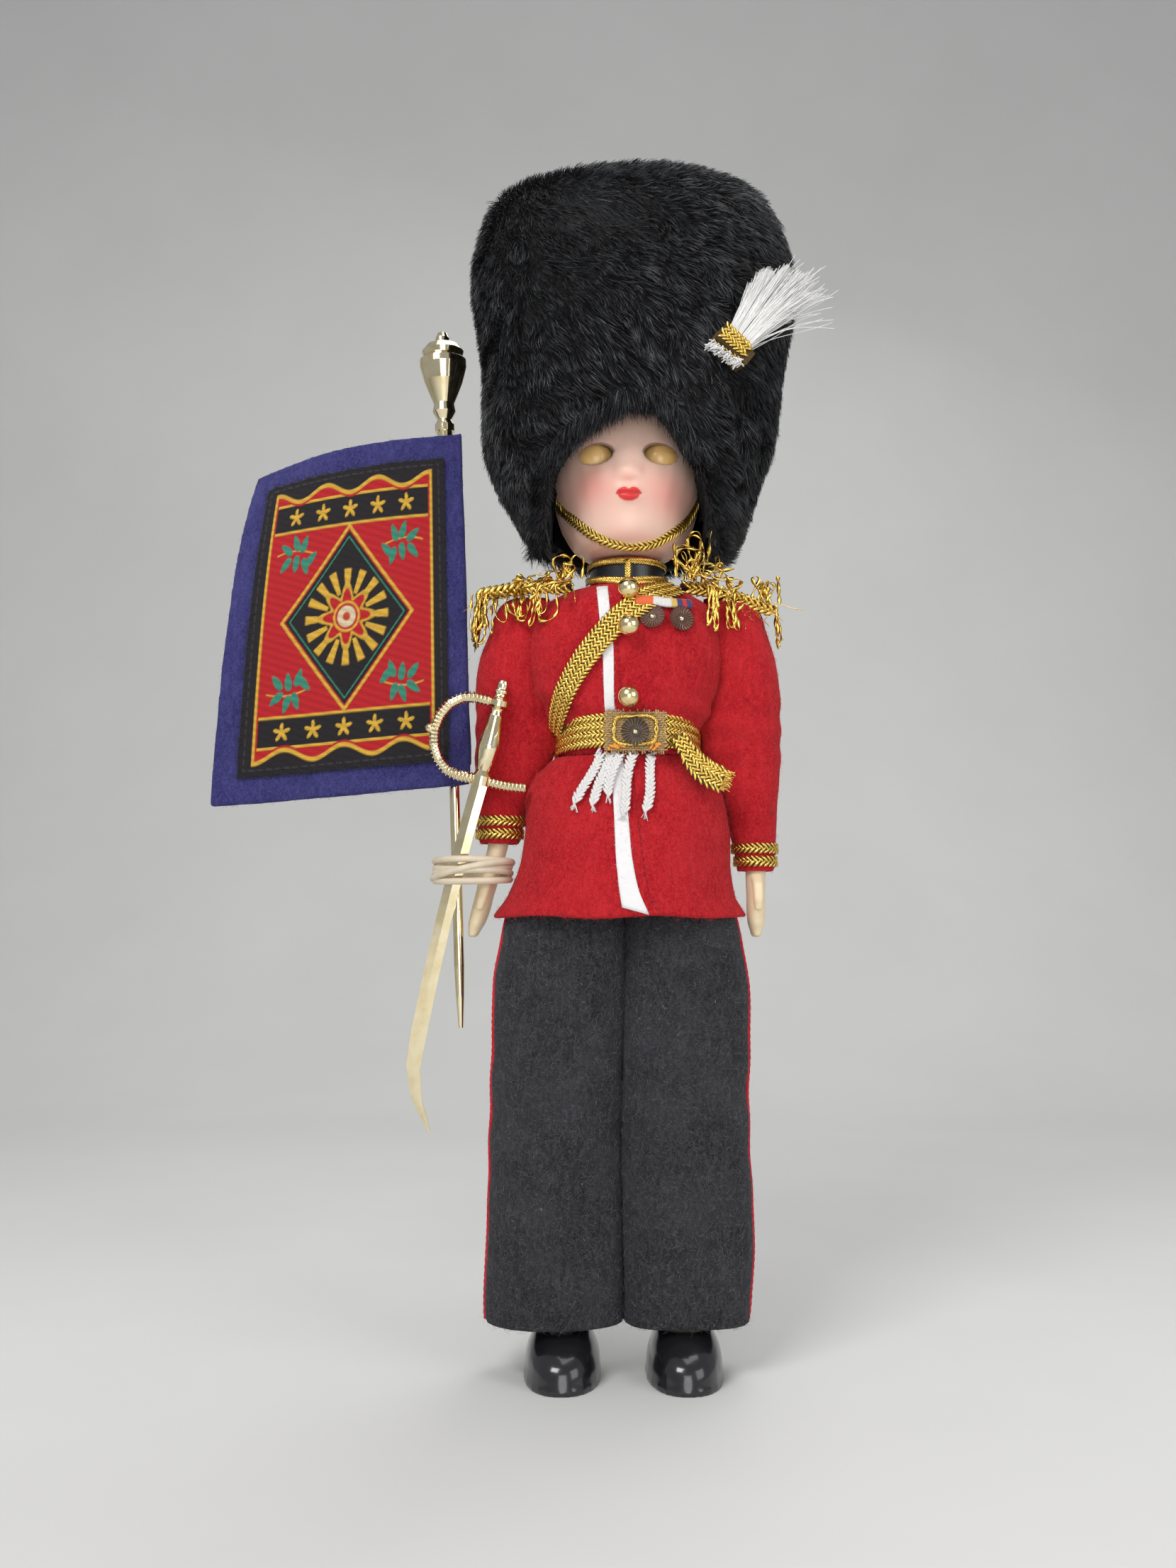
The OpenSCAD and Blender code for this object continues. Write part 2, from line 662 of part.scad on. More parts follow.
module plume() {
  nc = plume_cols + 1;
  nr = plume_rows + 1;
  base = [for (j = [0 : plume_rows], i = [0 : plume_cols]) plume_point(i, j, 0)];
  low = [for (p = base) [p[0], p[1], 0]];
  tips = [for (j = [0 : plume_rows - 1], i = [0 : plume_cols - 1])
    each [for (q = [[0.3, 0.3], [0.7, 0.3], [0.5, 0.7]])
      let (top = plume_point(i, j, 1, 0.5, 0.5),
           side = [(q[0] - 0.5) * plume_w / plume_cols, (q[1] - 0.43) * plume_t / plume_rows, 0])
      top + side]];
  lb = nc * nr;
  tb = 2 * lb;
  strand_faces = [for (j = [0 : plume_rows - 1], i = [0 : plume_cols - 1])
    let (a = j * nc + i, b = a + 1, c = a + nc + 1, d = a + nc, t = tb + 3 * (j * plume_cols + i),
         p = t, q = t + 1, r = t + 2)
    each [[a, p, q], [a, q, b], [b, q, c], [c, q, r], [c, r, d], [d, r, p], [d, p, a], [p, r, q]]];
  rim = concat([for (i = [0 : plume_cols]) i],
               [for (j = [1 : plume_rows]) j * nc + plume_cols],
               [for (i = [plume_cols - 1 : -1 : 0]) plume_rows * nc + i],
               [for (j = [plume_rows - 1 : -1 : 1]) j * nc]);
  m = len(rim);
  wall_faces = [for (k = [0 : m - 1])
    let (a = rim[k], b = rim[(k + 1) % m])
    each [[a, b, lb + b], [a, lb + b, lb + a]]];
  foot_mid = tb + 3 * plume_cols * plume_rows;
  foot = [for (k = [0 : m - 1]) [foot_mid, lb + rim[k], lb + rim[(k + 1) % m]]];
  color("white") placed() on_hat(plume_t / 2 + 3 * gap + braid_t)
    polyhedron(points = concat(base, low, tips, [[0, 0, 0]]), faces = concat(strand_faces, wall_faces, foot),
               convexity = 10);
}

module plume_band() {
  inner_w = plume_w + 2 * snug;
  inner_t = plume_t + 2 * snug;
  drop = 1.2 * plume_base_t;
  high = 0.5 * braid_w;
  color("gold") placed() on_hat(plume_t / 2 + 3 * gap + braid_t) translate([0, 0, -drop])
    difference() {
      translate([-inner_w / 2 - braid_t, -inner_t / 2 - braid_t, 0])
        cube([inner_w + 2 * braid_t, inner_t + 2 * braid_t, high]);
      translate([-inner_w / 2, -inner_t / 2, drop - snug]) cube([inner_w, inner_t, high]);
    }
}

// Chin strap: braid that runs from the edge of the fur under the chin
strap_w = 2.2;
strap_steps = 24;
module chin_strap() {
  top_x = 0.46 * head_w;
  path = [for (k = [0 : strap_steps])
    let (t = -1 + 2 * k / strap_steps, x = top_x * sin(90 * t),
         z = chin_z + strap_w * 0.75 + (0.34 * head_h - strap_w) * pow(abs(t), 2.4))
    [x, face_y(x, z) - 3 * gap, z]];
  normals = [for (p = path) [p[0], p[1], -0.2 * head_w * (1 - abs(p[0]) / top_x)]];
  color("gold") placed() loft(strap_rings(path, normals, strap_w, braid_t));
}

// Tunic: a felt body over the trunk and a skirt below the belt
tunic_sides = 32;
tunic_low = belt_z - braid_w / 2;
tunic_high = trunk_top;

function tunic_half(z, c, off) = trunk_half(z, c) + gap + off;
function tunic_ring(z, off) = ring(mid_x(z), 0, z, tunic_half(z, 1, off),
                                   tunic_half(z, 2, off), tunic_half(z, 2, off), tunic_sides);
// A place on the front of the tunic, and the way out of it
function tunic_front(x, z, off) =
  [x, -tunic_half(z, 2, off) * sqrt(max(0, 1 - pow((x - mid_x(z)) / tunic_half(z, 1, off), 2))), z];
function tunic_out(x, z) =
  let (p = tunic_front(x, z, felt))
  [p[0] / pow(tunic_half(z, 1, felt), 2), p[1] / pow(tunic_half(z, 2, felt), 2), 0];

module tunic_body() {
  levels = concat([for (t = [0 : 0.25 : 1]) mix(tunic_low, trunk_z + 0.81 * trunk_h, t)],
                  [trunk_z + 0.92 * trunk_h, trunk_z + 0.97 * trunk_h, tunic_high]);
  color("crimson") placed() difference() {
    hoop([for (z = levels) tunic_ring(z, felt)], [for (z = levels) tunic_ring(z, 0)]);
    for (side = [LEFT, RIGHT]) along_x(side, shoulder_z, trunk_w / 4, trunk_w, 0.9 * arm_r + gap);
  }
}

// The skirt hangs open and flares at its hem; its folds deepen on the way down
// Way down, half width, front and back
skirt_shares = [
  [0, 0, 0, 0], [0.12, 0.33, 0.22, 0.2], [0.25, 0.52, 0.42, 0.4], [0.5, 0.66, 0.72, 0.7], [0.72, 0.72, 0.9, 0.88],
  [0.88, 0.79, 0.97, 0.96], [1, 1, 1, 1]
];
skirt_top = tunic_low - snug;
function skirt_at(t, c) =
  mix(c == 1 ? tunic_half(skirt_top, 1, felt) : tunic_half(skirt_top, 2, felt),
      c == 1 ? hem_w / 2 : c == 2 ? hem_d / 2 : hem_d / 2 - felt, column(skirt_shares, c, t));
function skirt_ring(t, inset) =
  let (z = mix(skirt_top, hem_z, t))
  [for (i = [0 : tunic_sides - 1])
    let (a = 360 * i / tunic_sides, wave = fold * t * cos(6 * a + 20),
         w = skirt_at(t, 1) - inset + wave, d = skirt_at(t, sin(a) < 0 ? 2 : 3) - inset + wave)
    [mid_x(z) + w * cos(a), d * sin(a), z]];

module tunic_skirt() {
  steps = [for (k = [len(skirt_shares) - 1 : -1 : 0]) skirt_shares[k][0]];
  color("crimson") placed()
    hoop([for (t = steps) skirt_ring(t, 0)], [for (t = steps) skirt_ring(t, felt)]);
}

function skirt_way(z) = (skirt_top - z) / (skirt_top - hem_z);
function skirt_front(x, z, off) =
  let (t = skirt_way(z))
  [x, -(skirt_at(t, 2) + off + fold * t) * sqrt(max(0, 1 - pow((x - mid_x(z)) / (skirt_at(t, 1) + off), 2))), z];

// Lifts of the layers sewn on the chest: strip, sash over it, medals over the sash
strip_t = 0.3;
sash_lift = 2 * gap + strip_t;
medal_lift = sash_lift + braid_t + 2 * gap;

// White strip that edges the front opening, above and below the belt
strip_w = 2.8;
module front_strip() {
  top = [-1.8 * strip_w, trunk_z + 0.93 * trunk_h];
  foot = [0.35 * strip_w, hem_z + strip_t];
  function strip_x(z) = mix(foot[0], top[0], pow((z - foot[1]) / (top[1] - foot[1]), 0.8));
  upper = [for (t = [0 : 0.1 : 1])
    let (z = mix(belt_z + braid_w / 2 + belt_arch + gap, top[1], t)) tunic_front(strip_x(z), z, felt + gap)];
  lower = [for (t = [0 : 0.2 : 1])
    let (z = mix(foot[1], skirt_top, t)) skirt_front(strip_x(z), z, gap)];
  color("white") placed() {
    loft(strap_rings(upper, [for (p = upper) tunic_out(p[0], p[2])], strip_w, strip_t));
    loft(strap_rings(lower, [for (p = lower) [0, -1, 0]], 1.3 * strip_w, strip_t));
  }
}

// Bead buttons down the front; the middle one sits on the sash
module buttons() {
  low = belt_z + 0.8 * belt_arch + patch_h / 2 + 2.7 * gap + bead_r;
  rows = [[0.95, gap + snug], [0.8, medal_lift + 2 * gap], [(low - trunk_z) / trunk_h, sash_lift]];
  color("gold") placed() for (row = rows) {
    translate(tunic_front(0, trunk_z + row[0] * trunk_h, felt + row[1] + bead_r))
      sphere(r = bead_r, $fn = round_fn);
  }
}

// Collar: a standing band round the neck
collar_r = 0.56 * head_w / 2 - 0.8 * felt;
collar_z = tunic_high + snug;
module collar() {
  inner = collar_r - felt;
  color("#111116") placed() translate([0, 0, collar_z]) rotate_extrude($fn = 2 * round_fn)
    translate([inner, 0]) square([felt, collar_h]);
}

// Medals: a ribbon bar with two cup sequins under it
bar_l = 11;
bar_h = 1.5;
bar_x = bead_r / 2;
bar_z = trunk_z + 0.885 * trunk_h;
medal_z = bar_z - bar_h / 2 - 0.75 * sequin_r;

module on_chest(x, z, lift) {
  p = tunic_front(x, z, felt + lift);
  n = tunic_out(x, z);
  translate(p) rotate([0, 0, atan2(n[1], n[0]) + 90]) children();
}

module medal_bar() {
  path = [for (t = [0 : 0.125 : 1]) tunic_front(bar_x + t * bar_l, bar_z, felt + medal_lift)];
  color("firebrick") placed() loft(strap_rings(path, [for (p = path) tunic_out(p[0], bar_z)], bar_h, strip_t));
}

// A cup sequin whose hollow looks out of the chest
module sequin(r) {
  rise = r / 4;
  t = r / 8;
  rotate([90, 0, 0]) rotate_extrude($fn = round_fn) polygon([
    [0, 0], [0.55 * r, 0], [r, rise], [r, rise + t], [0.5 * r, t], [0, t]
  ]);
}

module medal_sequins() {
  color("saddlebrown") placed() for (k = [0.22, 0.7])
    on_chest(bar_x + k * bar_l, medal_z, medal_lift) sequin(sequin_r);
}

// Sash: braid from the doll's left shoulder across the chest to its right hip
sash_steps = 14;
sash_bend = 1.55;
sash_top_x = 0.3 * trunk_w;
sash_w = 0.85 * braid_w;
module sash() {
  high = trunk_z + 0.925 * trunk_h;
  low = belt_z + braid_w / 2 + belt_arch;
  path = [for (k = [0 : sash_steps])
    let (t = k / sash_steps, z = mix(high, low + sash_w / 3, pow(t, sash_bend)),
         x = mix(sash_top_x, -0.82 * tunic_half(low, 1, felt), t))
    tunic_front(x, z, felt + sash_lift)];
  normals = [for (p = path) tunic_out(p[0], p[2])];
  color("goldenrod") placed() loft(strap_rings(path, normals, sash_w, braid_t));
}

// Belt: a closed band over the joint of body and skirt, arched in front
belt_arch = 1;
function belt_ring(t, off) =
  let (n = tunic_sides, z0 = belt_z - braid_w / 2 + t * braid_w)
  [for (i = [0 : n - 1])
    let (a = 360 * i / n, arch = belt_arch * max(0, -sin(a)))
    [mid_x(z0) + (tunic_half(belt_z, 1, felt) + belt_ease + off) * cos(a),
     (tunic_half(belt_z, 2, felt) + belt_ease + off) * sin(a), z0 + arch]];
belt_ease = gap + fold;

module belt() {
  color("goldenrod") placed()
    hoop([for (t = [0, 1]) belt_ring(t, braid_t)], [for (t = [0, 1]) belt_ring(t, 0)]);
}

function belt_front(x, z, off) =
  let (a = tunic_half(belt_z, 1, felt) + belt_ease + braid_t + off,
       b = tunic_half(belt_z, 2, felt) + belt_ease + braid_t + off)
  [x, -b * sqrt(max(0, 1 - pow(x / a, 2))), z];

// The loose end of the belt hangs on the doll's left
tail_l = 12;
tail_turn = 38;
module belt_tail() {
  start = belt_front(0.5 * trunk_w * 0.72, belt_z, gap);
  flat = skirt_front(start[0] + tail_l * sin(tail_turn), belt_z - tail_l, gap + fold);
  path = [for (t = [0 : 0.25 : 1])
    [start[0] + t * tail_l * sin(tail_turn), mix(start[1], min(start[1], flat[1]) - gap, t),
     belt_z - t * tail_l * cos(tail_turn)]];
  out = [for (p = path) [0.35, -1, 0]];
  color("goldenrod") placed() loft(strap_rings(path, out, braid_w * 0.92, braid_t));
}

// Buckle: a tan patch with a loop of gold cord and a sequin, and knitted tassels below
patch_w = 10.4;
patch_h = 6.8;
buckle_x = patch_w / 9;
module on_belt(lift) {
  translate([buckle_x, belt_front(0, belt_z, gap + lift)[1], belt_z + belt_arch * 0.8]) children();
}

module buckle_patch() {
  color("tan") placed() on_belt(0)
    translate([-patch_w / 2, -braid_t, -patch_h / 2]) cube([patch_w, braid_t, patch_h]);
}

buckle_cord_r = 0.5;
module buckle_cord() {
  color("gold") placed() on_belt(braid_t + gap + buckle_cord_r) rotate([90, 0, 0])
    rotate_extrude($fn = round_fn) translate([0.34 * patch_w, 0]) circle(r = buckle_cord_r, $fn = 16);
}

module buckle_sequin() {
  color("saddlebrown") placed() on_belt(braid_t + gap) sequin(1.2 * sequin_r);
}

tassel_count = 7;
tassel_r = 0.6;
tassel_l = 12;
module tassels() {
  top_z = belt_z + belt_arch * 0.8 - patch_h / 2 - 3 * gap;
  color("white") placed() for (k = [0 : tassel_count - 1]) {
    u = k / (tassel_count - 1) - 0.5;
    x0 = buckle_x + u * 0.8 * patch_w;
    x1 = buckle_x + (1.2 * u - 0.38) * patch_w;
    y0 = belt_front(0, belt_z, gap + tassel_r)[1];
    path = [for (t = [0 : 0.25 : 1])
      let (x = mix(x0, x1, t), z = top_z - t * tassel_l * (1 - 0.35 * abs(u)))
      [x, min(y0, skirt_front(x, z, tassel_r + gap + fold + strip_t)[1]), z]];
    loft(tube_rings(path, tassel_r, 6, [0, 1, 0]));
  }
}

// Shoulder boards of plaited braid, each with a fringe of metal strips
board_t = 1.1;
board_x = 0.41 * trunk_w;
board_z = max(trunk_z + 0.97 * trunk_h, shoulder_z + sleeve_r) + gap;
module board(side) {
  color("gold") placed() translate([side > 0 ? board_x : -board_x - board_l, -board_w / 2, board_z])
    cube([board_l, board_w, board_t]);
}

module left_board() board(LEFT);
module right_board() board(RIGHT);

fringe_count = 11;
fringe_w = 1;
fringe_t = 0.35;
fringe_steps = 6;
fringe_angle = 104;
module fringe(side) {
  high = shoulder_z + sleeve_r * sin(62);
  color("gold") placed() for (k = [0 : fringe_count - 1]) {
    a = mix(-fringe_angle, fringe_angle, k / (fringe_count - 1));
    long = fringe_l * (0.82 + 0.18 * sin(131 * k));
    path = [for (j = [0 : fringe_steps])
      let (z = high - long * j / fringe_steps, r = sleeve_depth(side, z) + gap)
      [side * (sleeve_mid(side, z) + r * cos(a)), arm_y(z) + r * sin(a), z]];
    normals = [for (q = path) [side * cos(a), sin(a), 0.4]];
    loft(strap_rings(path, normals, fringe_w, fringe_t));
  }
}

module left_fringe() fringe(LEFT);
module right_fringe() fringe(RIGHT);

// Sleeves: felt tubes closed over the shoulder, open at the cuff
sleeve_sides = 18;
// Way from the shoulder to the cuff, and radius from the cuff's to the shoulder's
sleeve_shares = [[0, 1], [0.12, 1.06], [0.3, 1.04], [0.5, 0.72], [0.75, 0.36], [1, 0]];

function sleeve_low(side) = tip_z + (side == LEFT ? left_cuff_rise : right_cuff_rise);
function sleeve_depth(side, z) = z > shoulder_z
  ? sqrt(max(0, pow(sleeve_r, 2) - pow(z - shoulder_z, 2)))
  : mix(cuff_r, sleeve_r, column(sleeve_shares, 1, (shoulder_z - z) / (shoulder_z - sleeve_low(side))));
// Distance of the sleeve's middle from the doll's, and of the side that faces the tunic
function sleeve_mid(side, z) = side * arm_mid(side, min(z, shoulder_z));
sleeve_seat = tunic_half(shoulder_z, 1, felt) + gap;
function sleeve_in(side, z) =
  mix(sleeve_seat, sleeve_mid(side, z) - sleeve_depth(side, z), ease((shoulder_z - z) / (2 * sleeve_r)));
function sleeve_ring(side, z, inset) =
  let (out = sleeve_mid(side, z) + sleeve_depth(side, z), in = sleeve_in(side, z),
       a = (out - in) / 2 - inset, b = max(sleeve_depth(side, z) - inset, inset / 4))
  ring(side * (out + in) / 2, arm_y(z), z, a, b, b, sleeve_sides, z > shoulder_z - sleeve_r / 2 ? 0.9 : 1);

module sleeve(side) {
  low = sleeve_low(side);
  levels = concat([for (t = [1, 0.8, 0.6, 0.42, 0.27, 0.13, 0]) mix(shoulder_z, low, t)],
                  [for (a = [20, 42, 62, 78]) shoulder_z + sleeve_r * sin(a)]);
  inner_levels = [for (z = levels) z > shoulder_z ? mix(shoulder_z, z, 1 - felt / sleeve_r) : z];
  color("crimson") placed() difference() {
    cap([for (z = levels) sleeve_ring(side, z, 0)],
        [for (z = inner_levels) sleeve_ring(side, z, felt * (z < low + cuff_r ? 0.5 : 1))]);
    along_x(side, shoulder_z, trunk_w / 4, sleeve_seat + 2 * felt, 0.9 * arm_r + gap);
  }
}

module left_sleeve() sleeve(LEFT);
module right_sleeve() sleeve(RIGHT);

// Two rows of braid round each cuff
cuff_row = 1.8;
module cuff_braid(side) {
  low = sleeve_low(side) + 0.6 * cuff_row;
  color("gold") placed() for (k = [0, 1]) {
    z0 = low + k * 1.25 * cuff_row;
    hoop([for (z = [z0, z0 + cuff_row]) sleeve_ring(side, z, -gap - braid_t / 2)],
         [for (z = [z0, z0 + cuff_row]) sleeve_ring(side, z, -gap / 2)]);
  }
}

module left_cuff_braid() cuff_braid(LEFT);
module right_cuff_braid() cuff_braid(RIGHT);

// Pole and finial: one plated moulding that leans beside the hand
pole_x = arm_mid(RIGHT, grip_z) - pole_gap;
pole_y = arm_y(grip_z);
pole_tilt = -2;
flag_rise = 16.4;
pole_above = flag_rise + flag_h + pole_r;

module pole_frame() {
  translate([pole_x, pole_y, grip_z]) rotate([0, pole_tilt, 0]) children();
}

module flagpole() {
  base = pole_above;
  r = finial_r;
  h = finial_h;
  color("khaki") placed() pole_frame() rotate_extrude($fn = round_fn) polygon([
    [0, -pole_below], [0.45 * pole_r, -pole_below], [0.8 * pole_r, -0.8 * pole_below],
    [pole_r, -0.6 * pole_below], [pole_r, base - 2.3 * pole_r], [1.5 * pole_r, base - 2.3 * pole_r],
    [1.5 * pole_r, base], [0.42 * r, base], [0.42 * r, base + 0.07 * h], [0.3 * r, base + 0.12 * h],
    [0.5 * r, base + 0.2 * h], [0.44 * r, base + 0.28 * h], [0.82 * r, base + 0.5 * h],
    [r, base + 0.66 * h], [r, base + 0.72 * h], [0.84 * r, base + 0.76 * h], [0.9 * r, base + 0.81 * h],
    [0.7 * r, base + 0.87 * h], [0.3 * r, base + 0.9 * h], [0.3 * r, base + 0.95 * h],
    [0.2 * r, base + h], [0, base + h]
  ]);
}

// Flag: a felt sheet with its free upper corner curled back, and a woven patch on it
flag_lap = 2.3;
flag_low_z = grip_z + flag_rise;
flag_cols = 12;
flag_rows = 10;
flag_curl = 0.16 * flag_w;

// Place on the middle sheet of the flag: u runs from the free edge to the pole, v upwards
function flag_at(u, v, off) =
  let (x = mix(-flag_w * (1 - 0.12 * v), 0, u) + flag_lap * (0.6 - v),
       far = clamp01((1 - u) * 1.25 - 0.25), curl = far * far * pow(v, 3) * flag_curl,
       wave = fold * sin(360 * u) * 1.5)
  [x * cos(flag_tilt) + curl * 0.3, off + curl + wave * (1 - v), flag_h * v + x * sin(flag_tilt) - curl * 0.35];

module sheet(u0, u1, v0, v1, nu, nv, y0, y1) {
  back = [for (j = [0 : nv], i = [0 : nu]) flag_at(mix(u0, u1, i / nu), mix(v0, v1, j / nv), y1)];
  face = [for (j = [0 : nv], i = [0 : nu]) flag_at(mix(u0, u1, i / nu), mix(v0, v1, j / nv), y0)];
  n = nu + 1;
  f = len(back);
  cells = [for (j = [0 : nv - 1], i = [0 : nu - 1]) j * n + i];
  rim = concat([for (i = [0 : nu]) i], [for (j = [1 : nv]) j * n + nu],
               [for (i = [nu - 1 : -1 : 0]) nv * n + i], [for (j = [nv - 1 : -1 : 1]) j * n]);
  m = len(rim);
  polyhedron(points = concat(back, face), faces = concat(
    [for (a = cells) each [[a, a + 1, a + n + 1], [a, a + n + 1, a + n]]],
    [for (a = cells) each [[f + a, f + a + n + 1, f + a + 1], [f + a, f + a + n, f + a + n + 1]]],
    [for (k = [0 : m - 1]) let (a = rim[k], b = rim[(k + 1) % m])
      each [[a, f + a, f + b], [a, f + b, b]]]
  ), convexity = 6);
}

flag_x = pole_x + flag_lap * 0.62;
box_x = -(flag_x + 0.6 * flag_lap - flag_w * cos(flag_tilt) + hat_w / 2 + 2 * hat_shift) / 2;
box_y = hat_d * 0.02;

module flag_frame() {
  translate([flag_x, pole_y - pole_r - gap, flag_low_z]) children();
}

module flag_felt() {
  color("#31306f") placed() flag_frame() sheet(0, 1, 0, 1, flag_cols, flag_rows, -flag_t, 0);
}

patch_t = 0.7;
module flag_patch() {
  bu = flag_border / flag_w;
  bv = flag_border / flag_h;
  color("firebrick") placed() flag_frame()
    sheet(bu, 1 - 0.8 * bu, bv, 1 - bv, flag_cols, flag_rows, -flag_t - snug - patch_t, -flag_t - snug);
}

// A strip of felt behind the pole, sewn to the flag on both sides of it
module flag_sleeve() {
  wide = 6.4 * pole_r;
  long = 0.82 * flag_h;
  color("#31306f") placed() translate([pole_x, pole_y, flag_low_z + 0.06 * flag_h])
    rotate([0, pole_tilt, 0]) translate([pole_slip, 0, 0]) linear_extrude(long) difference() {
      translate([-wide / 2, -pole_r]) square([wide, 2 * pole_r + gap + felt / 2]);
      circle(r = pole_r + gap, $fn = round_fn);
      translate([-pole_r - gap, -2 * pole_r]) square([2 * (pole_r + gap), 2 * pole_r]);
    }
}
pole_slip = (flag_low_z + 0.06 * flag_h - grip_z) * tan(pole_tilt);

// Sword: blade, grip, pommel and knuckle guard in one plated moulding
sword_tilt = 13;
sword_lean = 7;
sword_y = arm_y(grip_z) - 1.24 * arm_r;
sword_x = pole_x + 0.4 * blade_w;
sword_rise = 0.27 * blade_l;
blade_steps = 12;

module sword() {
  color("khaki") placed() translate([sword_x, sword_y, grip_z])
    rotate([sword_lean, 0, 0]) rotate([0, sword_tilt, 0]) translate([0, 0, sword_rise]) union() {
    blade();
    rotate_extrude($fn = round_fn) polygon([
      [0, -2 * guard_r], [1.1 * grip_r, -2 * guard_r], [1.1 * grip_r, 0], [0.7 * grip_r, 0.06 * grip_l],
      [grip_r, 0.35 * grip_l], [0.8 * grip_r, 0.68 * grip_l], [0.5 * grip_r, 0.75 * grip_l],
      [1.2 * grip_r, 0.79 * grip_l], [1.2 * grip_r, 0.85 * grip_l], [0.5 * grip_r, 0.89 * grip_l],
      [0.5 * grip_r, grip_l], [0, grip_l]
    ]);
    loft(tube_rings(guard_path(), guard_r, 8, [0, 1, 0]));
  }
}

// The guard leaves the pommel, bends round the knuckles and crosses the blade
function guard_path() =
  let (high = 0.82 * grip_l, w = guard_w - guard_r)
  concat([[0, 0, high]],
         [for (a = [90 : -22.5 : -90])
           [-0.42 * w - 0.58 * w * cos(a), 0, (high - guard_r) / 2 + (high + guard_r) / 2 * sin(a)]],
         [[0, 0, -guard_r], [0.45 * w, 0, -guard_r], [0.8 * w, 0, -0.5 * guard_r]]);

module blade() {
  rings = [for (k = [0 : blade_steps])
    let (t = k / blade_steps, z = -blade_l * (1 - t), bend = t < 0.2 ? pow((0.2 - t) / 0.2, 2) : 0,
         x = -0.05 * blade_l * (1 - t) * t * 1.2 + 0.06 * blade_l * bend * 1.3,
         w = blade_w / 2 * (k == 0 ? 0.15 : min(1, 0.55 + 2 * t)))
    [[x - w, -blade_t / 4, z], [x, -blade_t / 2, z], [x + w, -blade_t / 2, z],
     [x + w, blade_t / 2, z], [x, blade_t / 2, z], [x - w, blade_t / 4, z]]];
  loft(rings);
}

// Rubber band: one strand wound round hand, pole and sword
band_sides = 6;
turn_steps = 24;
band_in_x = arm_mid(RIGHT, grip_z) + 0.45 * arm_r + band_r + 2 * gap;
band_out_x = pole_x - pole_r - band_r - 5 * gap;
band_mid_x = (band_in_x + band_out_x) / 2;
band_half_x = (band_in_x - band_out_x) / 2;
band_front = pole_y - sword_y + blade_t / 2 + band_r + 4 * gap;
band_back = 0.8 * arm_r + band_r + 2 * gap;
function band_point(k) =
  let (a = 360 * k / turn_steps + 150, c = cos(a), s = sin(a),
       z = grip_z + band_pitch * (k / turn_steps - band_turns / 2))
  [band_mid_x + band_half_x * sign(c) * pow(abs(c), 0.52),
   pole_y + (s < 0 ? band_front : band_back) * sign(s) * pow(abs(s), 0.52), z];
band_turn_points = [for (k = [0 : band_turns * turn_steps]) band_point(k)];
band_start = band_turn_points[0] - 2 * band_r * unit(band_turn_points[1] - band_turn_points[0]);
band_last = len(band_turn_points) - 1;
band_stop = band_turn_points[band_last]
            + 2 * band_r * unit(band_turn_points[band_last] - band_turn_points[band_last - 1]);
band_path = concat([band_start], band_turn_points, [band_stop]);
// Least gap between points of the strand that are at least half a turn apart
band_gap = min([for (i = [0 : len(band_path) - 1], j = [i + turn_steps / 2 : 1 : len(band_path) - 1])
                norm(band_path[i] - band_path[j])]) - 2 * band_r;
echo(rubber_band_least_gap = band_gap);

module rubber_band() {
  color("wheat") placed() loft(tube_rings(band_path, band_r, band_sides));
}

// Trousers: a felt seat under the tunic, and a leg of cloth on each leg
seat_low = hem_z + felt;
module trousers_seat() {
  function thigh(z) = sqrt(max(0, pow(hip_r, 2) - pow(max(0, z - hip_z), 2)));
  function seat_ring(z, off) =
    let (high = max(z, trunk_z), a = max(trunk_half(high, 1), leg_x + thigh(z)) + gap + off,
         b = max(trunk_half(high, 2), hip_r) + gap + off)
    ring(z < trunk_z ? lean : mid_x(z), 0, z, a, b, b, tunic_sides);
  levels = concat([for (t = [0 : 0.25 : 1]) mix(seat_low, hip_z + 0.99 * hip_r, sqrt(t))],
                  [for (t = [0 : 0.5 : 1]) mix(trunk_z, skirt_top - seat_drop, t)]);
  color("#2b2b2e") placed()
    hoop([for (z = levels) seat_ring(z, seat_t)], [for (z = levels) seat_ring(z, 0)]);
}
seat_t = 0.45 * felt;
seat_drop = 6;

trouser_sides = 24;
trouser_top = hem_z - gap;
// Way down, half width and half depth, with the folds' strength
trouser_shares = [[0, 1, 1, 0.3], [0.12, 1.01, 1.02, 0.7], [0.3, 1, 1, 1], [0.55, 1, 0.97, 0.8],
                  [0.8, 1.01, 1, 1], [0.93, 1.02, 1.05, 1.2], [1, 1, 1.02, 1]];

function trouser_ring(side, row, inset) =
  let (z = mix(trouser_top, cuff_z, row[0]), outer = mix(leg_reach, leg_flare, row[0]),
       inner = 2 * gap / 3, a = (outer - inner) / 2, mid = lean + side * (outer + inner) / 2)
  [for (i = [0 : trouser_sides - 1])
    let (t = 360 * i / trouser_sides, wave = fold * row[3] * cos(3 * t + 60 * side),
         c = cos(t), s = sin(t), w = a - inset,
         d = row[2] * trouser_d / 2 - inset + wave)
    [mid + w * sign(c) * pow(abs(c), 0.8), d * sign(s) * pow(abs(s), 0.9), z]];

module trouser(side) {
  rows = [for (k = [len(trouser_shares) - 1 : -1 : 0]) trouser_shares[k]];
  color("#2b2b2e") placed()
    hoop([for (r = rows) trouser_ring(side, r, 0)], [for (r = rows) trouser_ring(side, r, felt)]);
}

module left_trouser() trouser(LEFT);
module right_trouser() trouser(RIGHT);

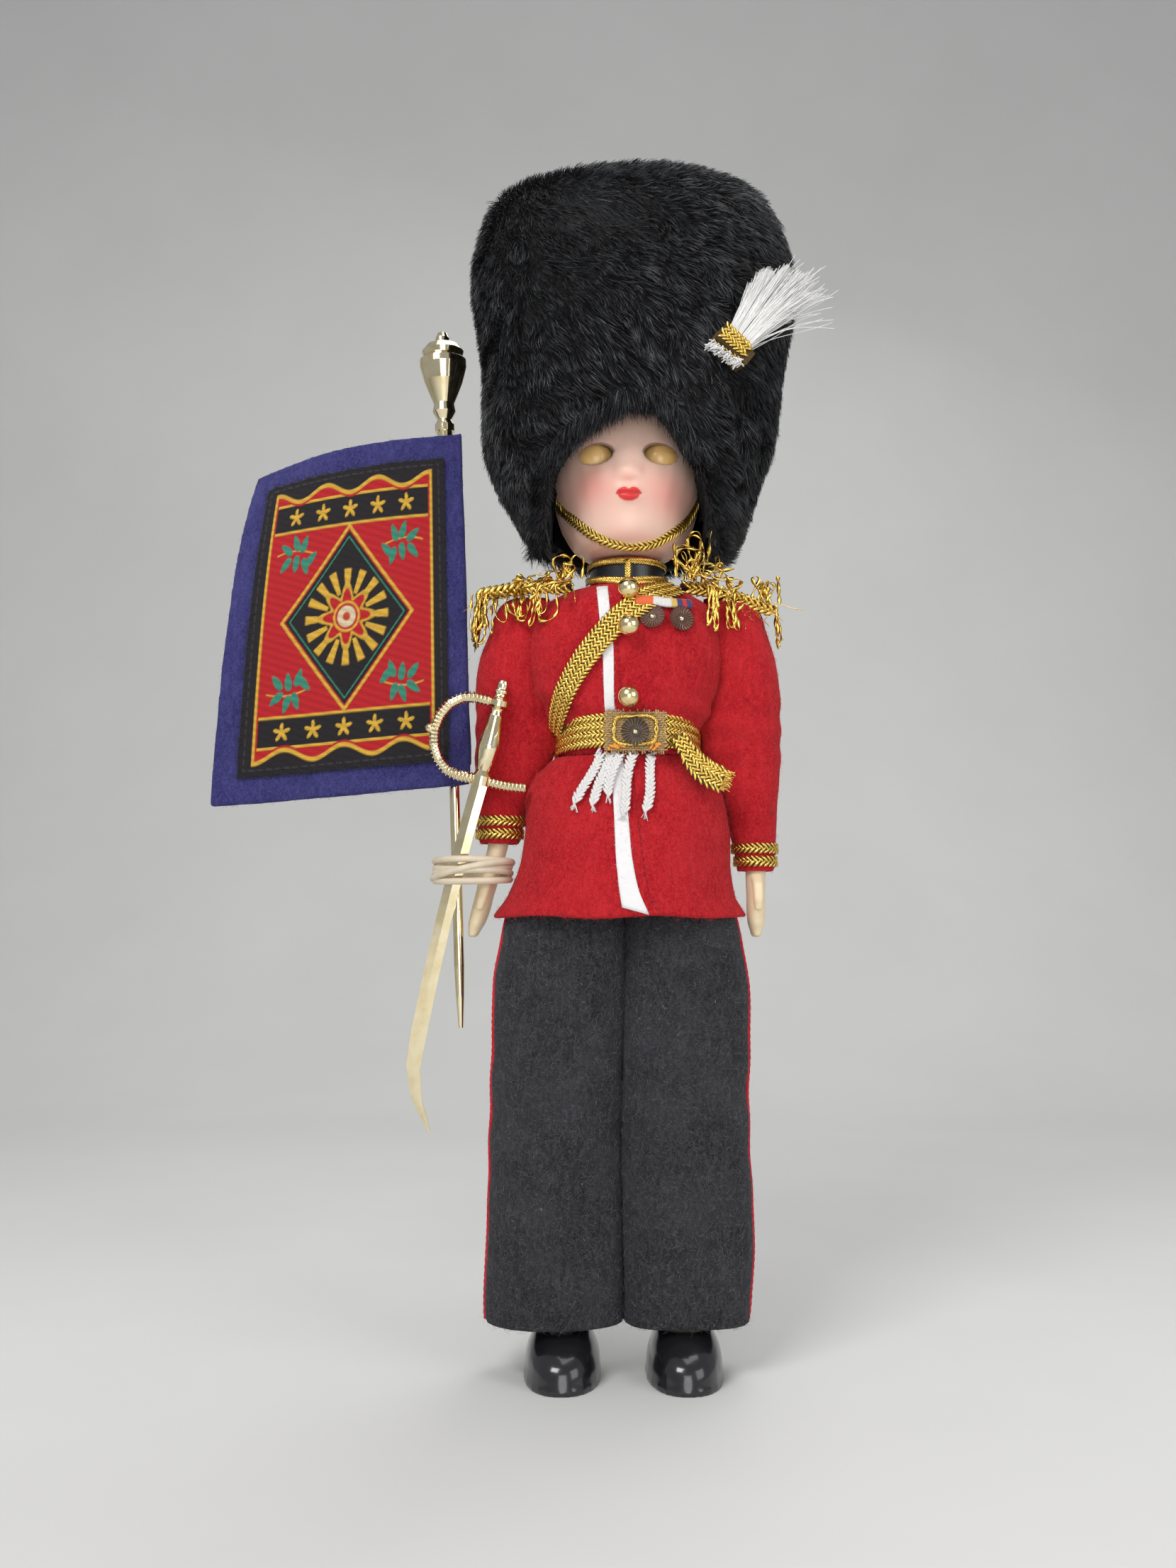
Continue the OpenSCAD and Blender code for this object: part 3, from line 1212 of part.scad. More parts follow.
module piping(side) {
  path = [for (t = [0 : 0.125 : 1])
    [lean + side * (mix(leg_flare, leg_reach, t) + piping_t / 2 + snug), 0, mix(cuff_z, trouser_top, t)]];
  color("red") placed() loft(tube_rings(path, piping_t / 2, 8, [0, 1, 0]));
}

module left_piping() piping(LEFT);
module right_piping() piping(RIGHT);

torso_front();
torso_back();
arm_cord();
leg_cord();
head_front();
head_back();
left_eye();
right_eye();
eye_rocker();
bearskin();
hat_wadding();
plume();
plume_band();
chin_strap();
collar();
tunic_body();
tunic_skirt();
front_strip();
buttons();
medal_bar();
medal_sequins();
sash();
belt();
belt_tail();
buckle_patch();
buckle_cord();
buckle_sequin();
tassels();
left_board();
right_board();
left_fringe();
right_fringe();
left_arm();
right_arm();
left_sleeve();
right_sleeve();
left_cuff_braid();
right_cuff_braid();
rubber_band();
sword();
flagpole();
flag_felt();
flag_patch();
flag_sleeve();
trousers_seat();
left_trouser();
right_trouser();
left_piping();
right_piping();
left_leg();
right_leg();
left_shoe();
right_shoe();
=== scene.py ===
import math

import bpy
import numpy as np
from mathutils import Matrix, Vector
from mathutils.bvhtree import BVHTree
from mathutils.kdtree import KDTree


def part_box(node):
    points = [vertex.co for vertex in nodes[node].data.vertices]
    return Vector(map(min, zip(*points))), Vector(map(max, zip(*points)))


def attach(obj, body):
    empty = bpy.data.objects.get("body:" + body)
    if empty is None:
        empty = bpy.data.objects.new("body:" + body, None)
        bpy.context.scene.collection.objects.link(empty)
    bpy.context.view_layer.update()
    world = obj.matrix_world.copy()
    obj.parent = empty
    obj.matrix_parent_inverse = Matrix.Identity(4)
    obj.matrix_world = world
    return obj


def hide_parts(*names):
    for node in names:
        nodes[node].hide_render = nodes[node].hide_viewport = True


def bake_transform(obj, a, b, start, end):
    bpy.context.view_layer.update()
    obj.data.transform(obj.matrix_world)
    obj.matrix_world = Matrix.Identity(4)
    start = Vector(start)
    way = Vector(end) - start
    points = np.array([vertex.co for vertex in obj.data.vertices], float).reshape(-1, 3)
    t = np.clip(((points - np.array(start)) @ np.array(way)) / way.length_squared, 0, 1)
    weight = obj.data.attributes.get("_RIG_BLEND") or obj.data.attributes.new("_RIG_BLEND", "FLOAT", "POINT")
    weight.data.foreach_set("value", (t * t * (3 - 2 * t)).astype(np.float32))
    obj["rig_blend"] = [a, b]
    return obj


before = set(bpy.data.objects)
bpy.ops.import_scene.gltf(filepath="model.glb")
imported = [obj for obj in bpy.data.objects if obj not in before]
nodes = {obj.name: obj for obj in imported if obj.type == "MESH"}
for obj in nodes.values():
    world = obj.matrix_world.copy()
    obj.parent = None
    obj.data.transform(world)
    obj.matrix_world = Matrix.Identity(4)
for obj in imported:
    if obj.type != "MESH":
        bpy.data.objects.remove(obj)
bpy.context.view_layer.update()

# Everything below is in millimetres from the middle of the doll; row() turns it into the row frame's metres.
low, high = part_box("collar")
ORIGIN = np.array([(low.x + high.x) * 500, (low.y + high.y) * 500, 0.0])
TAU = 2 * math.pi
LEFT, RIGHT = 1, -1
SIDES = ((LEFT, "left"), (RIGHT, "right"))


def row(p):
    return (np.asarray(p, float) + ORIGIN) / 1000


def unit(v):
    v = np.asarray(v, float)
    return v / np.maximum(np.linalg.norm(v, axis=-1, keepdims=True), 1e-9)


def mix(a, b, t):
    return a + (b - a) * t


def ease(t):
    t = np.clip(t, 0, 1)
    return t * t * (3 - 2 * t)


def table(rows, c, t):
    return np.interp(t, [r[0] for r in rows], [r[c] for r in rows])


def noise(p, size, seed, waves=14):
    """Smooth noise from -1 to 1 whose lumps are about size millimetres."""
    g = np.random.default_rng(seed)
    k = unit(g.normal(size=(waves, 3))) * (TAU / (size * g.uniform(1.3, 3.2, (waves, 1))))
    f = g.uniform(0, TAU, waves)
    return np.sin(np.asarray(p, float) @ k.T + f).sum(-1) / math.sqrt(waves)


# Meshes
def arc_of(path):
    """Length along a path at each of its points."""
    return np.concatenate([[0], np.cumsum(np.linalg.norm(np.diff(path, axis=0), axis=1))])


def read_at(s, arc, values):
    """Values given at the points of a path, read at the lengths s."""
    return np.stack([np.interp(s, arc, values[:, k]) for k in range(3)], 1)


def points_of(o):
    """An object's points in millimetres."""
    co = np.zeros(len(o.data.vertices) * 3, np.float32)
    o.data.vertices.foreach_get("co", co)
    return co.reshape(-1, 3) * 1000 - ORIGIN


def normals_of(o):
    n = np.zeros(len(o.data.vertices) * 3, np.float32)
    o.data.vertices.foreach_get("normal", n)
    return n.reshape(-1, 3)


def set_points(o, p):
    o.data.vertices.foreach_set("co", row(p).astype(np.float32).ravel())
    o.data.update()


def shade_smooth(me):
    me.polygons.foreach_set("use_smooth", np.ones(len(me.polygons), bool))


def paint_points(me, colours):
    rgba = np.ones((len(me.vertices), 4), np.float32)
    rgba[:, :3] = colours
    me.attributes.new("paint", "FLOAT_COLOR", "POINT").data.foreach_set("color", rgba.ravel())


class Shape:
    """Points and faces collected from several parts; faces are arrays of the same number of corners."""

    def __init__(self):
        self.points, self.faces, self.paints, self.count = [], [], [], 0

    def add(self, points, faces, paint=None):
        points = np.asarray(points, float).reshape(-1, 3)
        self.points.append(points)
        self.faces.append(np.asarray(faces, np.int64) + self.count)
        if paint is not None:
            self.paints.append(np.broadcast_to(np.asarray(paint, float), (len(points), 3)))
        self.count += len(points)
        return self


def build(name, shape, material, body, stands_for=()):
    """A mesh object made of a shape given in millimetres."""
    points = np.concatenate(shape.points)
    me = bpy.data.meshes.new(name)
    me.vertices.add(len(points))
    me.vertices.foreach_set("co", row(points).astype(np.float32).ravel())
    corners = [f.shape[1] for f in shape.faces for _ in range(len(f))]
    loops = np.concatenate([f.ravel() for f in shape.faces])
    me.loops.add(len(loops))
    me.loops.foreach_set("vertex_index", loops.astype(np.int32))
    me.polygons.add(len(corners))
    starts = np.concatenate([[0], np.cumsum(corners)[:-1]]).astype(np.int32)
    me.polygons.foreach_set("loop_start", starts)
    me.update(calc_edges=True)
    me.validate()
    if shape.paints:
        paint_points(me, np.concatenate(shape.paints))
    shade_smooth(me)
    return place(bpy.data.objects.new(name, me), material, body, stands_for)


def place(o, material, body, stands_for=()):
    """Gives an object its material and its body. A tuple as body blends two, from a start to an end."""
    if o.name not in bpy.context.scene.collection.objects:
        bpy.context.scene.collection.objects.link(o)
    o.data.materials.clear()
    o.data.materials.append(material)
    if isinstance(body, tuple):
        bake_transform(o, body[0], body[1], start=row(body[2]), end=row(body[3]))
    else:
        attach(o, body)
    if stands_for:
        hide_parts(*stands_for)
    return o


def dress(node, material):
    """Gives a CAD solid that stays visible its material."""
    nodes[node].data.materials.clear()
    nodes[node].data.materials.append(material)


def grid_faces(rows_n, cols_n, wrap=True):
    """Faces of a grid of points, row after row; wrap joins the last column to the first."""
    i = np.arange(rows_n * cols_n).reshape(rows_n, cols_n)
    j = np.roll(i, -1, 1) if wrap else i[:, 1:]
    i = i if wrap else i[:, :-1]
    return np.stack([i[:-1], j[:-1], j[1:], i[1:]], -1).reshape(-1, 4)


def rods(paths, radius, sides=6, up=(0, 0, 1), flat=1.0, spin=0.0):
    """Round or flat rods along many paths at once: paths is (number, points, 3)."""
    p = np.asarray(paths, float)
    if p.ndim == 2:
        p = p[None]
    t = unit(np.gradient(p, axis=1))
    u = np.broadcast_to(np.asarray(up, float), p.shape)
    s = unit(np.cross(t, u))
    w = np.cross(s, t)
    r = np.broadcast_to(np.asarray(radius, float), p.shape[:2])[..., None, None]
    a = TAU * np.arange(sides) / sides
    turn = np.broadcast_to(np.asarray(spin, float), p.shape[:2])[..., None]
    c, d = np.cos(a), np.sin(a) * flat
    x = (c * np.cos(turn) - d * np.sin(turn))[..., None]
    y = (c * np.sin(turn) + d * np.cos(turn))[..., None]
    ring = p[:, :, None, :] + r * (x * s[:, :, None, :] + y * w[:, :, None, :])
    n, m, _ = p.shape
    i = np.arange(n * m * sides).reshape(n, m, sides)
    j = np.roll(i, -1, 2)
    quads = np.stack([i[:, :-1], j[:, :-1], j[:, 1:], i[:, 1:]], -1).reshape(-1, 4)
    return ring.reshape(-1, 3), quads


def resample(path, count):
    path = np.asarray(path, float)
    arc = arc_of(path)
    return read_at(np.linspace(0, arc[-1], count), arc, path)


def soften(path, times=3):
    p = np.array(path, float)
    for _ in range(times):
        p[1:-1] = (p[:-2] + 2 * p[1:-1] + p[2:]) / 4
    return p


def front_line(points, count, times):
    """A softened path in the plane y = 0 through points given as x and z."""
    return soften(resample([[x, 0, z] for x, z in points], count), times)


def end_caps(cols, count):
    """Quads that close the ends of a flat tube: count rows, cols points on its top and as many below."""
    i = np.arange(cols - 1)
    first = np.stack([i, i + 1, 2 * cols - 2 - i, 2 * cols - 1 - i], -1)
    return first[:, ::-1], first + (count - 1) * 2 * cols


def strip(path, normals, width, thick, crown, cols):
    """A flat ribbon of some thickness that lies along a path."""
    path, n = np.asarray(path, float), unit(normals)
    along = unit(np.gradient(path, axis=0))
    side = unit(np.cross(along, n))
    w = np.broadcast_to(np.asarray(width, float), len(path))[:, None, None] / 2
    u = np.linspace(-1, 1, cols)
    top = path[:, None] + side[:, None] * u[None, :, None] * w
    top = top + n[:, None] * (thick * (1 - 0.35 * u**8) + crown * (1 - u**2))[None, :, None]
    bottom = path[:, None] + side[:, None] * u[None, ::-1, None] * w
    ring = np.concatenate([top, bottom], 1)
    return ring.reshape(-1, 3), np.concatenate([grid_faces(len(path), 2 * cols), *end_caps(cols, len(path))])


def plait(path, normals, width, lanes, pitch, thread, tilt, lift, seed, scale=1.0):
    """Flat braid: short bright floats of thread that slant one way, then the other, lane by lane."""
    g = np.random.default_rng(seed)
    path, normals = np.asarray(path, float), unit(normals)
    arc = arc_of(path)
    along = unit(np.gradient(path, axis=0))
    side = unit(np.cross(along, normals))
    lane = width / lanes
    s0 = np.arange(pitch / 2, arc[-1], pitch)
    s = np.concatenate([s0 + (0.5 * pitch if i % 2 else 0) for i in range(lanes)])
    t = np.concatenate([np.full(len(s0), (i + 0.5) * lane - width / 2) for i in range(lanes)])
    sign = np.concatenate([np.full(len(s0), -1.0 if i % 2 else 1.0) for i in range(lanes)])
    keep = s < arc[-1]
    s, t, sign = s[keep], t[keep], sign[keep]

    size = np.interp(s, arc, np.broadcast_to(np.asarray(scale, float), len(path)))
    t = t * size
    c, a, b, n = [read_at(s, arc, v) for v in (path, along, side, normals)]
    a, b, n = unit(a), unit(b), unit(n)
    slant = np.radians(tilt + g.normal(0, 4, len(s)))[:, None] * sign[:, None]
    d = a * np.cos(slant) + b * np.sin(slant)
    u = np.linspace(-1, 1, 6)
    half = 0.74 * lane / math.sin(math.radians(tilt)) * 0.98
    middle = c + b * t[:, None] + n * (lift + g.normal(0, 0.03, (len(s), 1)))
    p = middle[:, None] + d[:, None] * (u * half)[None, :, None] * size[:, None, None]
    p = p - n[:, None] * (0.30 * u**2 * thread * 2)[None, :, None]
    up = np.repeat(n[:, None], len(u), 1)
    r = thread * np.sqrt(np.maximum(0.04, 1 - u**4))
    return rods(p, np.broadcast_to(r, (len(s), len(u))), 6, up, 0.62)


def tinsel(path, width, pitch, seed):
    """A metal strip that twists, wide and narrow by turns, with painted glints where it is wide and painted
    shade where it is narrow.
    """
    thick, turns = 0.09, 0.08
    dark, bright = np.array([0.50, 0.22, 0.03]), np.array([0.93, 0.70, 0.17])
    g = np.random.default_rng(seed)
    path = soften(path, 1)
    length = np.linalg.norm(np.diff(path, axis=0), axis=1).sum()
    p = resample(path, max(8, int(length / 0.28)))
    s = np.linspace(0, length, len(p))
    f = g.uniform(0, TAU)
    flash = np.abs(np.sin(math.pi * s / pitch + f)) ** 1.8
    w = width * (0.34 + 0.66 * flash)
    up = unit(g.normal(size=3) + np.array([0, -1.0, 0]))
    spin = np.cumsum(np.full(len(p), turns)) + 0.5 * np.sin(s * 1.3 + f)
    # Painted glint on the wide turns of the strip and painted shade on its narrow turns
    shade = np.repeat(mix(dark, bright, ease(flash * 1.5)[:, None]), 4, 0)
    return *rods(p, w, 4, up, thick / width, spin), shade


def sampled(o, count, seed, keep=None):
    """Points and normals spread evenly over a mesh, in millimetres."""
    o.data.calc_loop_triangles()
    co, nv = points_of(o), normals_of(o)
    tri = np.zeros(len(o.data.loop_triangles) * 3, np.int32)
    o.data.loop_triangles.foreach_get("vertices", tri)
    tri = tri.reshape(-1, 3)
    a, b, c = co[tri[:, 0]], co[tri[:, 1]], co[tri[:, 2]]
    area = np.linalg.norm(np.cross(b - a, c - a), axis=1)
    if keep is not None:
        area = area * keep((a + b + c) / 3, nv[tri].mean(1))
    g = np.random.default_rng(seed)
    t = g.choice(len(tri), count, p=area / area.sum())
    u = g.random((count, 2))
    flip = u.sum(1) > 1
    u[flip] = 1 - u[flip]
    w = np.stack([1 - u.sum(1), u[:, 0], u[:, 1]], 1)
    return (co[tri[t]] * w[..., None]).sum(1), unit((nv[tri[t]] * w[..., None]).sum(1)), g


def ribbons(root, ways, width, g, taper=0.25):
    """Hairs as narrow strips: root (n, 3), ways (n, steps, 3) offsets from the root, width (n,)."""
    p = root[:, None] + ways
    t = unit(np.gradient(p, axis=1))
    s = unit(np.cross(t, unit(g.normal(size=root.shape))[:, None]))
    m = p.shape[1]
    w = width[:, None, None] * np.linspace(1, taper, m)[None, :, None] / 2
    pts = np.stack([p - s * w, p + s * w], 2)
    i = np.arange(len(root) * m * 2).reshape(-1, m, 2)
    quads = np.stack([i[:, :-1, 0], i[:, :-1, 1], i[:, 1:, 1], i[:, 1:, 0]], -1).reshape(-1, 4)
    return pts.reshape(-1, 3), quads


def fuzz(o, name, count, material, body, length=0.9, width=0.05, rise=0.55, seed=1, keep=None):
    """Short loose fibres that lie on felt and stand off its edges."""
    root, n, g = sampled(o, count, seed, keep)
    d = unit(g.normal(size=root.shape))
    flat = unit(d - n * (d * n).sum(1, keepdims=True))
    size = length * g.uniform(0.4, 1.5, (count, 1))
    bend = unit(np.cross(n, flat)) * g.normal(0, 0.5, (count, 1))
    up = rise * g.uniform(0.1, 1.0, (count, 1)) ** 1.5
    a = flat * size * 0.5 + n * size * up * 0.8
    b = (flat + bend * 0.6) * size * 0.95 + n * size * up * g.uniform(0.4, 1.2, (count, 1))
    ways = np.stack([np.zeros_like(a), a, b], 1)
    pts, quads = ribbons(root - n * 0.03, ways, np.full(count, width), g, 0.5)
    return build(name, Shape().add(pts, quads), material, body)


def bake_modifiers(o):
    """Gives an object the mesh that its modifiers make."""
    bpy.context.view_layer.update()
    old = o.data
    new = bpy.data.meshes.new_from_object(o.evaluated_get(bpy.context.evaluated_depsgraph_get()))
    o.modifiers.clear()
    o.data = new
    bpy.data.meshes.remove(old)
    new.name = o.name


def soft_copy(node, name, voxel, smooth, move=None):
    """A finer mesh of a soft CAD solid, for cloth and mouldings; move displaces its points."""
    o = bpy.data.objects.new(name, nodes[node].data.copy())
    bpy.context.scene.collection.objects.link(o)
    r = o.modifiers.new("remesh", "REMESH")
    r.mode, r.voxel_size, r.adaptivity = "VOXEL", voxel / 1000, 0
    s = o.modifiers.new("smooth", "SMOOTH")
    s.factor, s.iterations = 0.5, smooth
    bake_modifiers(o)
    for a in list(o.data.attributes):
        if a.name.startswith("custom_normal") or a.name in ("sharp_face", "sharp_edge"):
            o.data.attributes.remove(a)
    if move is not None:
        set_points(o, move(points_of(o), normals_of(o)))
    shade_smooth(o.data)
    return o


def even(o, times, keep):
    """Smooths a mesh's facets away as far as keep says: 1 for all, 0 for none."""
    group = o.vertex_groups.new(name="soft")
    for i, w in enumerate(keep(points_of(o))):
        if w > 0.01:
            group.add([i], float(w), "REPLACE")
    m = o.modifiers.new("even", "SMOOTH")
    m.factor, m.iterations, m.vertex_group = 0.5, times, "soft"
    bake_modifiers(o)


def tree(*objects):
    """Objects as one surface to set things on, in millimetres."""
    verts, faces = [], []
    for o in objects:
        faces.extend([[v + len(verts) for v in f.vertices] for f in o.data.polygons])
        verts.extend(points_of(o).tolist())
    return BVHTree.FromPolygons(verts, faces)


def seat(bvh, p, way, far=60.0):
    """Where a line towards way through p first meets a surface, and the way out of it."""
    way = Vector(way).normalized()
    hit = bvh.ray_cast(Vector(p) - way * far, way)
    if hit[0] is None:
        near = bvh.find_nearest(Vector(p))
        return np.array(near[0]), np.array(near[1])
    return np.array(hit[0]), np.array(hit[1])


def seated(bvh, points, way, off, smooth):
    """A path laid on a surface along a way of looking, and the surface's normals along it."""
    ways = np.broadcast_to(np.asarray(way, float), np.shape(points))
    hits = [seat(bvh, p, w) for p, w in zip(points, ways)]
    n = unit(soften([h[1] for h in hits], smooth))
    p = soften([h[0] for h in hits], smooth // 2) + n * off
    return p, n


# Materials
class Look:
    """A material and the node tree that colours it."""

    def __init__(self, name, colour, rough, metal=0.0, **sockets):
        self.m = bpy.data.materials.new(name)
        self.m.use_nodes = True
        self.t = self.m.node_tree
        self.p = self.t.nodes["Principled BSDF"]
        self.p.inputs["Base Color"].default_value = (*colour, 1)
        self.p.inputs["Roughness"].default_value = rough
        self.p.inputs["Metallic"].default_value = metal
        for k, v in sockets.items():
            self.p.inputs[k.replace("_", " ")].default_value = v
        self.c = self.t.nodes.new("ShaderNodeTexCoord").outputs["Object"]
        self.height = None

    def new(self, kind, **values):
        n = self.t.nodes.new("ShaderNode" + kind)
        for k, v in values.items():
            if k in n.inputs:
                n.inputs[k].default_value = v
            else:
                setattr(n, k, v)
        return n

    def link(self, a, b):
        self.t.links.new(a, b)

    def noise(self, size, detail=4.0, rough=0.6, distort=0.0, stretch=None):
        n = self.new("TexNoise", Scale=1000.0 / size, Detail=detail, Roughness=rough, Distortion=distort)
        if stretch is None:
            self.link(self.c, n.inputs["Vector"])
        else:
            k = self.new("Mapping")
            k.inputs["Scale"].default_value = stretch
            self.link(self.c, k.inputs["Vector"])
            self.link(k.outputs[0], n.inputs["Vector"])
        return n.outputs["Fac"]

    def wave(self, size, direction):
        n = self.new("TexWave", Scale=1000.0 / size / TAU * 2, bands_direction=direction)
        self.link(self.c, n.inputs["Vector"])
        return n.outputs["Fac"]

    def ramp(self, factor, stops):
        r = self.new("ValToRGB")
        e = r.color_ramp.elements
        while len(e) < len(stops):
            e.new(0.5)
        for k, (at, colour) in enumerate(stops):
            e[k].position = at
            e[k].color = (*colour, 1)
        self.link(factor, r.inputs[0])
        return r.outputs[0]

    def mask(self, factor, low, high, flip=False):
        """From 0 at low to 1 at high, or flipped from 1 to 0."""
        ends = [(0, 0, 0), (1, 1, 1)]
        return self.ramp(factor, list(zip((low, high), ends[::-1] if flip else ends)))

    def blend(self, factor, a, b, kind="MIX"):
        n = self.new("Mix", data_type="RGBA", blend_type=kind)
        for socket, v in ((n.inputs[0], factor), (n.inputs[6], a), (n.inputs[7], b)):
            if isinstance(v, (int, float)):
                socket.default_value = v
            elif isinstance(v, tuple):
                socket.default_value = (*v, 1)
            else:
                self.link(v, socket)
        return n.outputs[2]

    def math(self, kind, a, b=0.0):
        n = self.new("Math", operation=kind)
        for socket, v in ((n.inputs[0], a), (n.inputs[1], b)):
            if isinstance(v, (int, float)):
                socket.default_value = v
            else:
                self.link(v, socket)
        return n.outputs[0]

    def paint(self):
        return self.new("Attribute", attribute_name="paint").outputs["Color"]

    def colour(self, socket):
        self.link(socket, self.p.inputs["Base Color"])
        return self

    def mottled(self, factor, amount, tone):
        """Colours by the points' paint, mottled towards a tone."""
        return self.colour(self.blend(self.math("MULTIPLY", factor, amount), self.paint(), tone))

    def rough(self, factor, low, high):
        n = self.new("MapRange")
        n.inputs["To Min"].default_value = low
        n.inputs["To Max"].default_value = high
        self.link(factor, n.inputs["Value"])
        self.link(n.outputs[0], self.p.inputs["Roughness"])
        return self

    def bump(self, factor, depth, strength=1.0):
        n = self.new("Bump", Strength=strength, Distance=depth / 1000)
        self.link(factor, n.inputs["Height"])
        if self.height is not None:
            self.link(self.height, n.inputs["Normal"])
        self.height = n.outputs[0]
        self.link(self.height, self.p.inputs["Normal"])
        return self


def felt_look(name, dark, base, light, sheen, tint, lint=0.0):
    """Felt: matted fibres of three tones, darker where their relief is low as painted shade, streaks of light
    ones, painted shade in dark spots, and lint.
    """
    k = Look(name, base, 0.93, Sheen_Weight=sheen, Sheen_Roughness=0.45, Sheen_Tint=(*tint, 1),
             Specular_IOR_Level=0.18)
    fine = k.noise(0.42, 6, 0.72, 1.4)
    hairs = k.noise(0.8, 5, 0.7, 2.5, (1, 1, 0.34))
    # The tones follow the fine relief: the dark one is painted shade in its low spots
    c = k.ramp(fine, [(0.36, dark), (0.5, base), (0.66, light)])
    streaks = k.mask(k.noise(1.5, 5, 0.68, 1.6, (1, 1, 0.42)), 0.46, 0.66)
    c = k.blend(k.math("MULTIPLY", streaks, 0.55), c, light)
    # Painted shade in small dark spots
    pit_shade = k.mask(k.noise(1.1, 4, 0.65, 1.2), 0.30, 0.45, flip=True)
    c = k.blend(k.math("MULTIPLY", pit_shade, 0.6), c, dark)
    c = k.blend(k.mask(k.noise(9.0, 3, 0.5), 0.35, 0.7), c, k.blend(0.35, c, light))
    if lint:
        specks = k.mask(k.noise(0.9, 2, 0.5, 3.0, (1, 1, 0.4)), 0.70, 0.76)
        c = k.blend(k.math("MULTIPLY", specks, lint), c, tint)
    k.colour(c)
    k.bump(hairs, 0.22, 0.8)
    k.bump(fine, 0.12, 0.9)
    return k.m


def fibre_look(name, colour):
    k = Look(name, colour, 0.7, Sheen_Weight=0.3, Specular_IOR_Level=0.35)
    dark, light = tuple(c * 0.62 for c in colour), tuple(min(1, c * 1.25) for c in colour)
    k.colour(k.ramp(k.noise(0.7, 2), [(0.3, dark), (0.7, light)]))
    k.bump(k.noise(0.2, 2), 0.02, 0.4)
    return k.m


def gold_look(name, base, dark, rough, metal, grain, bump):
    k = Look(name, base, rough, metal)
    n = k.noise(grain, 4, 0.6)
    k.colour(k.ramp(n, [(0.28, dark), (0.6, base)]))
    k.rough(k.noise(grain * 1.7, 3), rough * 0.75, rough * 1.5)
    k.bump(k.noise(grain * 0.4, 3), bump, 0.5)
    return k.m


def painted_look(name, colour, rough, metal, mottle, tone, gloss, bump, **more):
    """Colour from the points' paint. mottle, gloss and bump each begin with a noise's size and detail."""
    k = Look(name, colour, rough, metal, **more)
    k.mottled(k.noise(*mottle[:2]), mottle[2], tone)
    k.rough(k.noise(*gloss[:2]), *gloss[2:])
    k.bump(k.noise(*bump[:2]), *bump[2:])
    return k.m


def simple(name, colour, rough, spread=0.8, size=1.0, depth=0.04, fine=0.3, **more):
    """A plain surface with some unevenness of colour, gloss and height."""
    k = Look(name, colour, rough, **more)
    k.colour(k.ramp(k.noise(size, 4), [(0.25, tuple(c * spread for c in colour)), (0.75, colour)]))
    k.rough(k.noise(size * 0.7, 3), rough * 0.8, min(1, rough * 1.25))
    k.bump(k.noise(fine, 3), depth, 0.5)
    return k.m


RED = felt_look("red_felt", (0.21, 0.002, 0.007), (0.41, 0.005, 0.012), (0.58, 0.026, 0.032), 0.12,
                (1.0, 0.35, 0.30), 0.08)
RED_HAIR = fibre_look("red_felt_fibres", (0.66, 0.03, 0.04))
DARK = felt_look("dark_felt", (0.006, 0.006, 0.008), (0.018, 0.018, 0.021), (0.062, 0.062, 0.068), 0.10,
                 (0.5, 0.5, 0.55), 0.3)
DARK_HAIR = fibre_look("dark_felt_fibres", (0.12, 0.12, 0.13))
BLUE = felt_look("blue_felt", (0.012, 0.011, 0.058), (0.027, 0.025, 0.118), (0.068, 0.064, 0.215), 0.18,
                 (0.5, 0.5, 0.9), 0.12)
BLUE_HAIR = fibre_look("blue_felt_fibres", (0.06, 0.06, 0.22))
PIPING = felt_look("red_piping", (0.35, 0.006, 0.015), (0.60, 0.012, 0.03), (0.75, 0.04, 0.06), 0.2,
                   (1, 0.4, 0.4))
BRAID = gold_look("gold_braid", (0.86, 0.62, 0.16), (0.46, 0.27, 0.04), 0.27, 1.0, 0.5, 0.03)
# Backing of the braids: painted shade that shows between their threads
SHADE_BACKING = gold_look("braid_backing_painted_shade", (0.105, 0.062, 0.016), (0.045, 0.026, 0.008), 0.7, 0.25, 0.4, 0.05)
PLATE = gold_look("gold_plate", (0.90, 0.80, 0.55), (0.80, 0.66, 0.38), 0.10, 1.0, 3.0, 0.012)
BEAD = gold_look("gold_bead", (0.90, 0.76, 0.42), (0.78, 0.60, 0.28), 0.16, 1.0, 1.2, 0.02)
TINSEL = painted_look("gold_tinsel", (0.93, 0.68, 0.17), 0.2, 1.0, (1.6, 3, 0.3), (0.62, 0.36, 0.07),
                      (0.9, 3, 0.13, 0.32), (0.5, 3, 0.02, 0.4))
SEQUIN = painted_look("brown_sequin", (0.13, 0.045, 0.018), 0.32, 0.25, (0.5, 3, 0.3), (0.05, 0.02, 0.01),
                      (0.4, 3, 0.25, 0.5), (0.25, 3, 0.02, 0.5), Coat_Weight=0.25, Coat_Roughness=0.2)
FACE = painted_look("face_plastic", (0.86, 0.62, 0.52), 0.4, 0.0, (5.0, 4, 0.12), (0.80, 0.50, 0.40),
                    (2.5, 4, 0.33, 0.5), (1.6, 5, 0.03, 0.5), Subsurface_Weight=0.25, Subsurface_Scale=0.0025,
                    Specular_IOR_Level=0.4)
SKIN = simple("cream_plastic", (0.84, 0.70, 0.46), 0.42, 0.86, 6.0, 0.02, 1.2, Subsurface_Weight=0.15,
              Subsurface_Scale=0.002)
SATIN = simple("black_satin", (0.012, 0.012, 0.014), 0.26, 0.7, 1.0, 0.02, 0.25)
SHOE = simple("black_moulding", (0.010, 0.010, 0.012), 0.2, 0.8, 5.0, 0.02, 2.5, Coat_Weight=0.5,
              Coat_Roughness=0.08)
